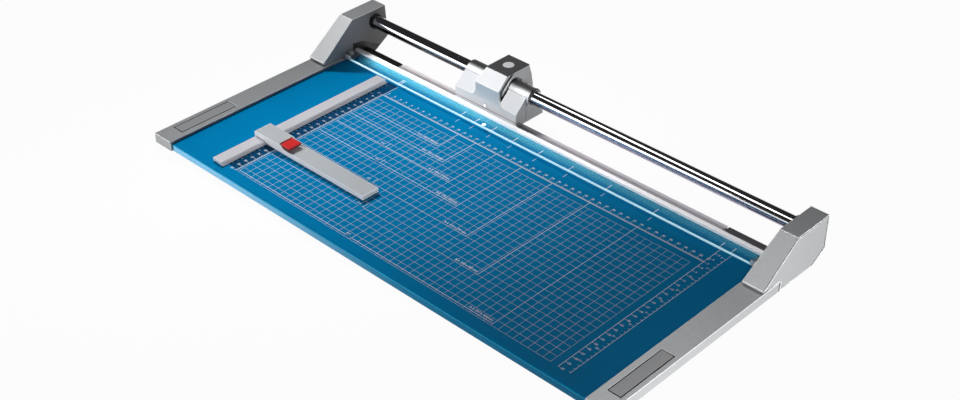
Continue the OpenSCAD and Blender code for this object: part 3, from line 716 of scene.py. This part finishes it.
class TrimmerSizes(bpy.types.PropertyGroup):
    """Sizes of the printing and of the rounded edges."""

    ink_height: bpy.props.FloatProperty(
        name="Ink Height", description="How far the printing stands out of the table",
        default=0.00004, precision=6, unit="LENGTH")
    grid_line: measure("Grid Line", "Width of a grid line", 0.26)
    rule_line: measure("Ruler Line", "Width of a ruler line", 0.6)
    format_line: measure("Format Line", "Width of a paper format line", 0.6)
    tick_line: measure("Tick", "Width of a scale mark", 0.3)
    number_height: measure("Number Height", "Height of the scale numbers", 2.9)
    word_height: measure("Word Height", "Height of the paper format names", 3.0)
    casting_edge: measure("Casting Edge", "Rounding of the castings' edges", 0.6)
    head_edge: measure("Head Edge", "Rounding of the head's edges", 0.5)


class TrimmerColours(bpy.types.PropertyGroup):
    """Colours of the trimmer's finishes."""

    table_blue: swatch("Table Blue", "Enamel of the table", (0.0, 0.22, 0.49))
    # Painted reflection on the lip: a paler copy of the table's enamel
    lip_blue: swatch("Lip Blue", "Enamel of the table's folded lip", (0.27, 0.66, 0.97))
    # Painted highlight along the table's folded edge
    fold: swatch("Fold Blue", "Enamel of the table's folded edge", (0.03, 0.52, 0.86))
    silver: swatch("Silver", "Metallic paint of the frames and towers", (0.4, 0.412, 0.42))
    # Painted highlight on the rounded edges of the frames and towers
    silver_edge: swatch("Silver Edge", "Edges of the frames and towers", (0.9, 0.91, 0.92))
    # Painted shade: a duller copy of the silver for the towers' inner faces
    inner: swatch("Inner Silver", "Inner faces of the towers", (0.54, 0.52, 0.51))
    # Painted highlight on the rounded edges of the head and its core
    head_edge: swatch("Head Edge", "Edges of the head", (0.78, 0.785, 0.79))
    head_silver: swatch("Head Silver", "Metallic paint of the head", (0.6, 0.61, 0.62))
    chrome: swatch("Chrome", "Plating of the guide tube", (0.86, 0.85, 0.86))
    # Painted reflection along the tube's underside, darkest near its left end
    chrome_under: swatch("Chrome Under", "Underside of the guide tube", (0.4, 0.4, 0.52))
    chrome_dark: swatch("Chrome Dark", "Underside of the tube's left end", (0.03, 0.028, 0.03))
    clear: swatch("Clear", "Clear clamp strip", (0.14, 0.74, 1.0))
    # Also the axle's end, where the near white is a painted highlight
    frost: swatch("Frost", "Frosted rib of the clamp strip, and the axle", (0.96, 0.95, 0.97))
    # Painted glow along the strip's front edge
    edge_glow: swatch("Edge Glow", "Front edge of the clamp strip", (0.8, 0.95, 1.0))
    aluminium: swatch("Aluminium", "Stop bar and knife rail", (0.74, 0.74, 0.78))
    steel: swatch("Steel", "Counter knife and round blade", (0.45, 0.425, 0.44))
    screw: swatch("Screw Steel", "Screws, springs and pins", (0.62, 0.63, 0.64))
    gauge: swatch("Gauge Grey", "Slider of the back gauge", (0.5, 0.53, 0.55))
    # Painted highlight on the gauge's edges and front side
    gauge_edge: swatch("Gauge Edge", "Front side and edges of the back gauge", (0.88, 0.89, 0.9))
    red: swatch("Lever Red", "Lock lever of the gauge", (0.72, 0.03, 0.03))
    charcoal: swatch("Charcoal", "Top cap and core of the head", (0.05, 0.051, 0.053))
    # Also the colour of painted shade in seams and recesses, round the label and on the axle's sides
    black: swatch("Black", "Rubber, seams and dark plastic", (0.011, 0.009, 0.009))
    bush: swatch("Bush", "Slide bushes and glides", (0.6, 0.58, 0.52))
    ink: swatch("Ink", "Printing", (0.84, 0.88, 0.92))
    grid: swatch("Grid Ink", "Printing of the grid", (0.85, 0.8, 0.79))
    brown: swatch("Brown", "Right end piece of the knife", (0.27, 0.24, 0.245))
    label: swatch("Label Grey", "Label panels of the end frames", (0.3, 0.305, 0.31))
    # Dark band beside the stop bar
    band: swatch("Band Blue", "Dark printed band beside the stop bar", (0.0, 0.055, 0.15))
    sleeve: swatch("Sleeve Metal", "Sleeves of the head round the tube", (0.66, 0.67, 0.68))
    # Also the painted highlight on the brackets' front faces and the guide screws
    bright: swatch("Bright Metal", "Badge, bracket lips and guide screws", (0.86, 0.86, 0.87))
    bracket: swatch("Bracket Steel", "Brackets of the clamp strip", (0.2, 0.2, 0.21))
    # Painted highlight: a lighter copy of the aluminium for the ledge
    ledge: swatch("Ledge", "Lower step of the stop bar", (0.82, 0.81, 0.86))
    rail: swatch("Rail Grey", "Front rail under the table", (0.06, 0.065, 0.07))
    brass: swatch("Brass", "Hub of the round blade", (0.62, 0.42, 0.14))


# The operators


class TRIMMER_OT_stage(bpy.types.Operator):
    """Sets up the camera, the white floor, the world and the soft lights"""

    bl_idname = "trimmer.stage"
    bl_label = "Studio Stage"

    def execute(self, context):
        scene = context.scene
        scene.view_settings.view_transform = "Standard"
        self.camera(scene)
        self.floor()
        self.world(scene)
        self.lights()
        return {"FINISHED"}

    def camera(self, scene):
        """The camera of the photo, fitted to the printed grid."""
        data = bpy.data.cameras.new("photo camera")
        data.sensor_width = 36.0
        data.sensor_fit = "HORIZONTAL"
        data.lens = 58.361
        data.clip_end = 50.0
        camera = bpy.data.objects.new("photo camera", data)
        scene.collection.objects.link(camera)
        right = Vector((0.72002, 0.69394, -0.00407))
        up = Vector((-0.3946, 0.4142, 0.8201))
        back = right.cross(up).normalized()
        up = back.cross(right).normalized()
        turn = Matrix((right.normalized(), up, back)).transposed().to_4x4()
        eye = Vector((1.01025, CUT_Y - 1.17064, TABLE_TOP + 0.99117))
        camera.matrix_world = Matrix.Translation(eye) @ turn
        scene.camera = camera

    def seen(self, tree):
        """A mask that is 1 for what the camera, gloss and glass see."""
        path = tree.nodes.new("ShaderNodeLightPath")
        first = math_node(tree, "MAXIMUM", path.outputs["Is Camera Ray"], path.outputs["Is Glossy Ray"])
        return math_node(tree, "MAXIMUM", first, path.outputs["Is Transmission Ray"])

    def end_with(self, tree, mask, plain, shown, output):
        """Ends a node tree with one shader where a mask is 0 and another where it is 1."""
        link = tree.links.new
        blend = tree.nodes.new("ShaderNodeMixShader")
        out = tree.nodes.new(output)
        link(mask, blend.inputs["Fac"])
        link(plain.outputs[0], blend.inputs[1])
        link(shown.outputs[0], blend.inputs[2])
        link(blend.outputs["Shader"], out.inputs["Surface"])

    def floor(self):
        """A white floor that keeps a weak shadow."""
        glow_share = 0.965
        deselect()
        bpy.ops.mesh.primitive_plane_add(size=60, location=(0, 0, CAD_BOX[0].z))
        floor = bpy.context.object
        floor.name = "studio_floor"
        material = bpy.data.materials.new("studio_floor")
        material.use_nodes = True
        tree = material.node_tree
        tree.nodes.clear()
        matte = tree.nodes.new("ShaderNodeBsdfDiffuse")
        matte.inputs["Color"].default_value = (0.8, 0.8, 0.8, 1)
        glow = tree.nodes.new("ShaderNodeEmission")
        glow.inputs["Color"].default_value = WHITE
        mask = math_node(tree, "MULTIPLY", self.seen(tree), glow_share)
        self.end_with(tree, mask, matte, glow, "ShaderNodeOutputMaterial")
        floor.data.materials.append(material)

    def world(self, scene):
        """White near the horizon and dark above, with an even fill for matte faces."""
        world = bpy.data.worlds.new("studio world")
        scene.world = world
        world.use_nodes = True
        tree = world.node_tree
        tree.nodes.clear()
        link = tree.links.new
        place = tree.nodes.new("ShaderNodeTexCoord")
        split = tree.nodes.new("ShaderNodeSeparateXYZ")
        link(place.outputs["Generated"], split.inputs["Vector"])
        sky = tree.nodes.new("ShaderNodeValToRGB")
        sky.color_ramp.interpolation = "EASE"
        horizon, above = sky.color_ramp.elements
        horizon.position = 0.1
        horizon.color = WHITE
        above.position = 0.24
        above.color = (0.02, 0.02, 0.022, 1)
        link(split.outputs["Z"], sky.inputs["Fac"])
        shown = tree.nodes.new("ShaderNodeBackground")
        link(sky.outputs["Color"], shown.inputs["Color"])
        soft = tree.nodes.new("ShaderNodeBackground")
        soft.inputs["Color"].default_value = (0.95, 0.97, 1.0, 1)
        soft.inputs["Strength"].default_value = 0.1
        self.end_with(tree, self.seen(tree), soft, shown, "ShaderNodeOutputWorld")

    def hang(self, data, place, aim):
        """Adds a lamp to the scene and turns it to a point."""
        lamp = bpy.data.objects.new(data.name, data)
        bpy.context.scene.collection.objects.link(lamp)
        lamp.location = place
        lamp.rotation_euler = (Vector(aim) - Vector(place)).to_track_quat("-Z", "Y").to_euler()
        return lamp

    def pool(self, name, place, aim, cone, softness, power, stretch=1.0):
        """A pool of light that fades towards its rim and may be stretched sideways."""
        data = bpy.data.lights.new(name, "SPOT")
        data.spot_size = math.radians(cone)
        data.spot_blend = 1.0
        data.shadow_soft_size = softness
        data.energy = power
        lamp = self.hang(data, place, aim)
        lamp.visible_glossy = False
        lamp.scale = (stretch, 1.0, 1.0)

    def lamp(self, name, place, aim, size, power):
        """A soft panel of light that no glossy face shows."""
        data = bpy.data.lights.new(name, "AREA")
        data.shape = "RECTANGLE"
        data.size, data.size_y = size
        data.energy = power
        lamp = self.hang(data, place, aim)
        lamp.visible_glossy = False
        lamp.visible_camera = False
        lamp.visible_transmission = False
        return lamp

    def reflector(self, name, place, aim, size, power):
        """A panel that only glossy faces show."""
        panel = self.lamp(name, place, aim, size, power)
        panel.visible_glossy = True
        panel.visible_diffuse = False
        return panel

    def lights(self):
        """Two pools, four soft panels, and five panels that only gloss shows."""
        middle = (-0.1, 0.1, 0.03)
        self.pool("key pool", (-1.38, 0.6, 1.0), (-0.14, -0.045, 0.0),
                  cone=13.0, softness=0.1, power=150.0, stretch=2.6)
        self.pool("head pool", (-0.05, -0.36, 1.12), (-0.1, 0.13, 0.05),
                  cone=90.0, softness=0.06, power=76.0)
        self.lamp("front panel", (-0.75, -1.0, 0.17), middle, size=(0.4, 0.2), power=6.0)
        self.lamp("right panel", (0.8, -0.15, 0.12), (0.35, 0.05, 0.03), size=(0.5, 0.3), power=5.3)
        self.lamp("strip lamp", (-1.15, -0.12, 0.75), middle, size=(0.25, 0.25), power=26.0)
        self.lamp("table lamp", (0.52, -0.1, 0.3), (0.3, -0.08, 0.0), size=(0.3, 0.3), power=0.26)
        self.reflector("front softbox", (-0.95, -1.05, 0.36), middle, size=(1.0, 0.5), power=4.0)
        self.reflector("slant strip", (-1.03, -0.32, 0.9), middle, size=(0.96, 0.14), power=5.6)
        self.reflector("rear panel", (-0.38, 0.66, 1.12), (0.33, -0.1, 0.02), size=(0.5, 0.5), power=3.2)
        self.reflector("right slant", (-0.19, -0.36, 1.03), (0.33, 0.1, 0.04), size=(0.3, 0.2), power=1.4)
        line = self.reflector("overhead strip", (-0.43, 0.06, 1.04), middle, size=(0.26, 0.9), power=2.4)
        line.rotation_euler = (0.0, 0.0, math.radians(42.0))


class TRIMMER_OT_table(bpy.types.Operator):
    """Finishes the table plate with its folded front lip and the rails under it"""

    bl_idname = "trimmer.table"
    bl_label = "Table"

    def execute(self, context):
        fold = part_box("table_plate")[0].y / MM + 2.0
        plate = skin("table_plate", "table_enamel", edge=0.35)
        # Painted shade on the plate's rounded side edges, by the end frames
        retouch(plate, "seam_dark", lambda at, way: abs(way.x) > 0.3)
        # The lip takes a paler copy of the enamel, a painted reflection that fades from left to right
        retouch(plate, "lip_enamel", lambda at, way: at.y < fold and way.z < 0.5)
        # A painted highlight along the fold
        retouch(plate, "fold_enamel", lambda at, way: at.y < fold and 0.1 < way.z < 0.5)
        shine_only("table lamp", plate)
        coat("rail_paint", "front_rail")
        coat("satin_aluminium", "knife_rail")
        coat("screw_steel", "table_screws", "knife_screws", "stop_bar_screws")
        coat("screw_steel", "foot_screws", "tube_set_screws")
        skin("rubber_feet", "black_rubber", edge=0.5)
        return {"FINISHED"}


class TRIMMER_OT_printed_grid(bpy.types.Operator):
    """Prints the ten millimetre grid on the table"""

    bl_idname = "trimmer.printed_grid"
    bl_label = "Printed Grid"

    def execute(self, context):
        width = sizes().grid_line
        ahead = line_ahead(GRID_LEFT, GRID_BACK, GRID_FRONT, width)
        ahead = repeat(ahead, GRID_LEFT, GRID_RIGHT, du=STEP)
        across = line_across(GRID_LEFT, GRID_RIGHT, GRID_BACK, width)
        across = repeat(across, GRID_BACK, GRID_FRONT, dv=STEP)
        lay("print_grid", [ahead, across], "grid_ink")
        return {"FINISHED"}


class TRIMMER_OT_printed_rulers(bpy.types.Operator):
    """Prints the rulers with their marks and numbers on the table"""

    bl_idname = "trimmer.printed_rulers"
    bl_label = "Printed Rulers"

    def execute(self, context):
        rule = sizes().rule_line
        tick = sizes().tick_line
        bold = tick * 1.3
        bars = [
            line_across(LEFT_RULER, CM_RULER, ACROSS_RULER, rule * 1.5),
            line_ahead(LEFT_RULER, LEFT_RULER_BACK, GRID_FRONT, rule),
            line_ahead(CM_RULER, RIGHT_RULER_BACK, GRID_FRONT, rule),
            line_ahead(INCH_RULER, RIGHT_RULER_BACK, GRID_FRONT, rule * 0.8),
        ]
        for length, width, step in ((2.0, tick, 1.0), (5.0, bold, STEP)):
            mark = line_ahead(GRID_LEFT, ACROSS_RULER - length, ACROSS_RULER, width)
            bars.append(repeat(mark, GRID_LEFT, CM_RULER, du=step))
        # Left end, right end, rearmost mark, width and step
        scales = (
            (LEFT_RULER - 2.0, LEFT_RULER, ACROSS_RULER, tick, 1.0),
            (LEFT_RULER - 4.5, LEFT_RULER, ACROSS_RULER, bold, STEP),
            (CM_RULER, CM_RULER + 3.6, CM_BACK, bold, STEP),
            (STOP_MARK, STOP_MARK + 2.2, INCH_BACK, tick, INCH / 4),
            (STOP_MARK, STOP_MARK + 3.8, INCH_BACK, bold, INCH),
            (INCH_RULER - 2.4, INCH_RULER, INCH_BACK, bold, INCH / 4),
            (INCH_RULER - 4.0, INCH_RULER, INCH_BACK, bold, INCH),
        )
        for left, right, back, width, step in scales:
            bars.append(repeat(line_across(left, right, back, width), back, GRID_FRONT, dv=step))
        lay("print_rulers", bars, "print_ink")
        self.band(rule)
        lay("print_numbers", self.numbers(), "print_ink")
        return {"FINISHED"}

    def band(self, rule):
        """Lays the dark band beside the stop bar, a little lower than the rest."""
        bar = ink_bar(0.0, LEFT_RULER - rule, BAND_BACK, BAND_FRONT)
        band = paint(join("print_band", [bar]), "band_ink")
        band.location.z -= sizes().ink_height / 2
        show(settle(band), "frame", "table_enamel")

    def numbers(self):
        """Words for the numbers of the four rulers."""
        high = sizes().number_height
        small = high * 0.9
        words = [word(str(n), n * STEP + 1.0, ACROSS_RULER - 7.4, high) for n in range(2, 52)]
        words += [word(str(n), LEFT_RULER - 7.6, n * STEP, high) for n in range(7, 31)]
        words += [word(str(n), CM_RULER + 5.6, n * STEP, small) for n in range(4, 31)]
        words += [word(str(n), INCH_RULER - 5.6, n * INCH, small) for n in range(2, 12)]
        return words


class TRIMMER_OT_printed_formats(bpy.types.Operator):
    """Prints the paper formats' lines, corner marks and names on the table"""

    bl_idname = "trimmer.printed_formats"
    bl_label = "Printed Paper Formats"

    def execute(self, context):
        width = sizes().format_line
        high = sizes().word_height
        corner = 9.0
        drop = 3.6
        bars = [line_ahead(EXTRA_MARK, *TABLE_MARK, width)]
        words = []
        for name, short, long in FORMATS:
            bars.append(line_ahead(long, ACROSS_RULER, short, width))
            bars.append(line_across(GRID_LEFT, long, short, width))
            bars.append(line_ahead(long, *TABLE_MARK, width))
            words.append(word(f"{name}  {short} x {long} mm", long - 3.0, short - drop, high, "RIGHT"))
            if long <= GRID_FRONT:
                bars.append(line_ahead(short, long - corner, long, width))
                bars.append(line_across(short - corner, short, long, width))
                words.append(word(name, short - 6.0, long - drop, high * 0.85, "RIGHT"))
        lay("print_formats", bars, "print_ink")
        lay("print_format_names", words, "print_ink")
        return {"FINISHED"}


class TRIMMER_OT_end_frames(bpy.types.Operator):
    """Finishes the end frames, towers, covers and inserts"""

    bl_idname = "trimmer.end_frames"
    bl_label = "End Frames and Towers"

    def execute(self, context):
        self.dress("left")
        shine_only("right panel", *self.dress("right"))
        return {"FINISHED"}

    def dress(self, side):
        """Finishes one end, and gives back its frame, tower, cover and label."""
        edge = sizes().casting_edge
        out = CAD_BOX[1].x / MM
        split = CUT_Y / MM - TOWER_SPLIT
        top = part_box(side + "_end_frame")[1].z / MM
        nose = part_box(side + "_tower")[0].y / MM
        pocket_low, pocket_high = (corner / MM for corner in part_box(side + "_tower_insert"))
        label_low, label_high = (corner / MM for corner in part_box(side + "_label_inlay"))

        def near_pocket(at):
            """By the insert's pocket."""
            return (pocket_low.x - 2.0 < at.x < pocket_high.x + 2.0
                    and pocket_low.y - 1.0 < at.y < pocket_high.y + 1.0 and at.z < pocket_high.z + 1.0)

        def in_label_recess(at):
            """In the recess round the label."""
            return (label_low.x - 0.8 < at.x < label_high.x + 0.8
                    and label_low.y - 0.8 < at.y < label_high.y + 0.8
                    and label_low.z - 0.1 < at.z < top - 0.3)

        # Frames, towers and covers take a lighter silver on their rounded edges, a painted highlight
        holder = skin(side + "_end_frame", "silver_paint", edge * 0.8, rim="silver_edge",
                      spare=lambda at: abs(at.y - split) < 2.5)
        tower = skin(side + "_tower", "silver_paint", edge, segments=3, rim="silver_edge",
                     spare=near_pocket)
        # The label's rounded edges take painted shade
        label = skin(side + "_label_inlay", "label_silver", edge=0.4, rim="seam_dark")
        cover = skin(side + "_tower_cover", "silver_paint", edge * 0.6, rim="silver_edge")
        skin(side + "_tower_insert", "black_plastic", edge=0.15)
        # Painted shade in the seam beside the cover, at the foot of the nose, in the joint with the frame
        # and along the outer front edge
        retouch(tower, "seam_dark", lambda at, way: (
            out - 2.8 < abs(at.x) < out - 0.7
            or at.y < nose + 1.7 and at.z < top + 1.7 and way.z < 0.5
            or at.y < split + 0.7 and at.z < top - 0.05
            or abs(at.x) > out - 3.6 and way.y < -0.2 and 0.1 < abs(way.x) < 0.95))
        # Painted shade: the towers' inner faces take a duller copy of the silver
        retouch(tower, "inner_silver", lambda at, way: way.x * at.x < 0.0 and abs(way.x) > 0.9)
        # Painted shade on the cover's side walls, down in its seam
        retouch(cover, "seam_dark", lambda at, way: abs(at.x) < out - 0.37)
        # Painted shade in the recess round the label and in the frame's split
        retouch(holder, "seam_dark", lambda at, way: (
            in_label_recess(at) or split - 1.5 < at.y < split and way.y > 0.3))
        return holder, tower, cover, label


class TRIMMER_OT_guide_tube(bpy.types.Operator):
    """Finishes the guide tube and its collars"""

    bl_idname = "trimmer.guide_tube"
    bl_label = "Guide Tube"

    def execute(self, context):
        # The chrome carries a painted reflection along its underside
        tube = skin("guide_tube", "polished_chrome", edge=0.3)
        keep_from(tube, "slant strip", "rear panel", "right slant")
        shine_only("overhead strip", tube)
        skin("tube_collars", "black_rubber", edge=0.3)
        return {"FINISHED"}


class TRIMMER_OT_knife(bpy.types.Operator):
    """Finishes the counter knife and its end pieces"""

    bl_idname = "trimmer.knife"
    bl_label = "Counter Knife"

    def execute(self, context):
        # The knife's finish paints reflection bands across it
        knife = skin("counter_knife", "ground_steel", edge=0.15, segments=1)
        shine_only("strip lamp", knife)
        # The left end piece takes black plastic, a painted shade of the right one's brown
        skin("left_knife_end", "black_plastic", edge=0.25)
        skin("right_knife_end", "brown_plastic", edge=0.25)
        return {"FINISHED"}


class TRIMMER_OT_clamp(bpy.types.Operator):
    """Finishes the clear clamp strip, its brackets, screws and format marks"""

    bl_idname = "trimmer.clamp"
    bl_label = "Clamp Strip"

    def execute(self, context):
        # The strip carries a painted reflection that grows towards its rib
        strip = skin("clamp_strip", "clear_acrylic", edge=0.25)
        self.frost(strip)
        for side in ("left", "right"):
            bracket = skin(side + "_clamp_bracket", "bracket_steel", edge=0.3)
            # Painted highlight on the brackets' front faces
            retouch(bracket, "bright_metal", lambda at, way: way.y < -0.5)
        # The guide screws take the bright metal, lighter than the other screws: a painted highlight
        skin("clamp_guide_screws", "bright_metal", edge=0.3)
        coat("screw_steel", "clamp_springs")
        places = [EXTRA_MARK] + [long for name, short, long in FORMATS]
        places += [LEFT_RULER, GRID_LEFT, CM_RULER, INCH_RULER]
        width = sizes().format_line
        marks = [line_ahead(u, *STRIP_MARK, width, STRIP_FLAT_TOP) for u in places]
        marks.append(self.dot())
        marks = show(paint(join("strip_marks", marks), "print_ink"), "clamp", "clear_plastic")
        shine_only("strip lamp", strip, marks)
        pass_through(strip, "front panel")
        return {"FINISHED"}

    def frost(self, strip):
        """Gives the strip's rib its frosted finish and its long front edge a painted glow."""
        front = STRIP_LOW.y / MM
        low = STRIP_LOW.z / MM
        retouch(strip, "frosted_edge", lambda at, way: at.y > front + RIB_FRONT - 0.1 and at.z > low + 0.3)
        # A painted glow along the front edge
        retouch(strip, "glowing_edge", lambda at, way: at.y < front + 0.4)

    def dot(self):
        """A small round mark on the strip."""
        x, y = spot(*DOT_PLACE)
        thick = sizes().ink_height
        deselect()
        bpy.ops.mesh.primitive_circle_add(
            vertices=24, radius=DOT_RADIUS * MM, fill_type="NGON",
            location=(x, y, STRIP_FLAT_TOP - thick / 2))
        return thicken(bpy.context.object, thick * 1.5)


class TRIMMER_OT_head(bpy.types.Operator):
    """Finishes the cutting head and its round blade"""

    bl_idname = "trimmer.head"
    bl_label = "Cutting Head"

    def execute(self, context):
        edge = sizes().head_edge
        low, high = (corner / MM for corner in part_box("head_front_cover"))
        tube_low, tube_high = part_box("guide_tube")
        axis = (tube_low + tube_high) / 2 / MM
        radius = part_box("head_bushes")[1].z / MM - axis.z + SLEEVE_WALL

        def off_sleeve(at):
            """How far a point lies outside the sleeves."""
            return math.hypot(at.y - axis.y, at.z - axis.z) - radius

        def on_sleeve(at):
            """On a sleeve, between the cover's ends."""
            return abs(off_sleeve(at)) < 0.8 and low.x + 1.0 < at.x < high.x - 1.0

        # Cover and body take a lighter silver on their rounded edges, a painted highlight
        cover = skin("head_front_cover", "head_silver", edge, segments=3, rim="head_edge_silver",
                     spare=on_sleeve)
        # A thin line of painted shade across the cover, above its lower band
        retouch(cover, "seam_dark", lambda at, way: (
            low.y + 0.05 < at.y < low.y + 0.6 and low.z + 6.1 < at.z < low.z + 7.0))
        body = skin("head_body", "head_silver", edge, segments=3, rim="head_edge_silver",
                    spare=on_sleeve)
        # The sleeves take sleeve metal, with painted shade darkening their tops
        retouch(body, "sleeve_metal", lambda at, way: off_sleeve(at) < 1.1 and at.z > axis.z - 3.0)
        # The core's rounded edges take the lighter silver too, a painted highlight
        core = skin("head_core", "charcoal_plastic", edge=0.4, rim="head_edge_silver")
        skin("head_cap", "charcoal_plastic", edge=0.4)
        skin("head_badge", "bright_metal", edge=0.12)
        # The axle's end takes near white, a painted highlight, and its sides painted shade
        axle = skin("blade_axle", "axle_metal", edge=0.5)
        retouch(axle, "seam_dark", lambda at, way: abs(way.y) < 0.95)
        shine_only("head pool", cover, body, core, axle)
        keep_from(cover, "slant strip", "front panel")
        coat("bush_plastic", "head_bushes", "head_glides")
        coat("screw_steel", "head_screws", "blade_spring", "blade_clip")
        skin("round_blade", "knife_steel", edge=0.3, segments=1)
        coat("hub_brass", "blade_hub")
        return {"FINISHED"}


class TRIMMER_OT_stop_bar(bpy.types.Operator):
    """Finishes the stop bar"""

    bl_idname = "trimmer.stop_bar"
    bl_label = "Stop Bar"

    def execute(self, context):
        bar = skin("stop_bar", "satin_aluminium", edge=0.35)
        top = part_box("stop_bar")[1].z / MM
        # The ledge takes a lighter copy of the aluminium, a painted highlight
        retouch(bar, "ledge_aluminium", lambda at, way: way.z > 0.5 and at.z < top - 1.0)
        shine_only("right panel", bar)
        return {"FINISHED"}


class TRIMMER_OT_gauge(bpy.types.Operator):
    """Finishes the back gauge with its red lock lever"""

    bl_idname = "trimmer.gauge"
    bl_label = "Back Gauge"

    def execute(self, context):
        # The slider's rounded edges and front side take a lighter grey, a painted highlight
        slider = skin("gauge_slider", "gauge_plastic", edge=0.5, segments=3, rim="gauge_edge")
        retouch(slider, "gauge_edge", lambda at, way: way.y < -0.7)
        shine_only("right panel", slider)
        skin("gauge_lock_lever", "red_plastic", edge=0.5, segments=3)
        coat("screw_steel", "gauge_lock_pin", "gauge_pad_spring")
        coat("black_rubber", "gauge_brake_pad")
        return {"FINISHED"}


OPERATORS = (
    TRIMMER_OT_stage,
    TRIMMER_OT_table,
    TRIMMER_OT_printed_grid,
    TRIMMER_OT_printed_rulers,
    TRIMMER_OT_printed_formats,
    TRIMMER_OT_end_frames,
    TRIMMER_OT_guide_tube,
    TRIMMER_OT_knife,
    TRIMMER_OT_clamp,
    TRIMMER_OT_head,
    TRIMMER_OT_stop_bar,
    TRIMMER_OT_gauge,
)


class TRIMMER_PT_panel(bpy.types.Panel):
    """Lists the trimmer's pieces, sizes and colours"""

    bl_idname = "TRIMMER_PT_panel"
    bl_label = "Paper Trimmer"
    bl_space_type = "VIEW_3D"
    bl_region_type = "UI"
    bl_category = "Trimmer"

    def draw(self, context):
        column = self.layout.column()
        for one in OPERATORS:
            column.operator(one.bl_idname)
        for group in (context.scene.trimmer_sizes, context.scene.trimmer_colours):
            for name in group.bl_rna.properties.keys():
                if name not in ("rna_type", "name"):
                    column.prop(group, name)


CLASSES = (TrimmerSizes, TrimmerColours) + OPERATORS + (TRIMMER_PT_panel,)


def register():
    """Registers the classes and gives the scene its sizes and colours."""
    for one in CLASSES:
        bpy.utils.register_class(one)
    bpy.types.Scene.trimmer_sizes = bpy.props.PointerProperty(type=TrimmerSizes)
    bpy.types.Scene.trimmer_colours = bpy.props.PointerProperty(type=TrimmerColours)


def unregister():
    """Takes back all that register() added."""
    del bpy.types.Scene.trimmer_colours
    del bpy.types.Scene.trimmer_sizes
    for one in reversed(CLASSES):
        bpy.utils.unregister_class(one)


def main():
    """Builds all the pieces."""
    register()
    for one in OPERATORS:
        family, action = one.bl_idname.split(".")
        getattr(getattr(bpy.ops, family), action)()
    deselect()


if __name__ == "__main__":
    main()
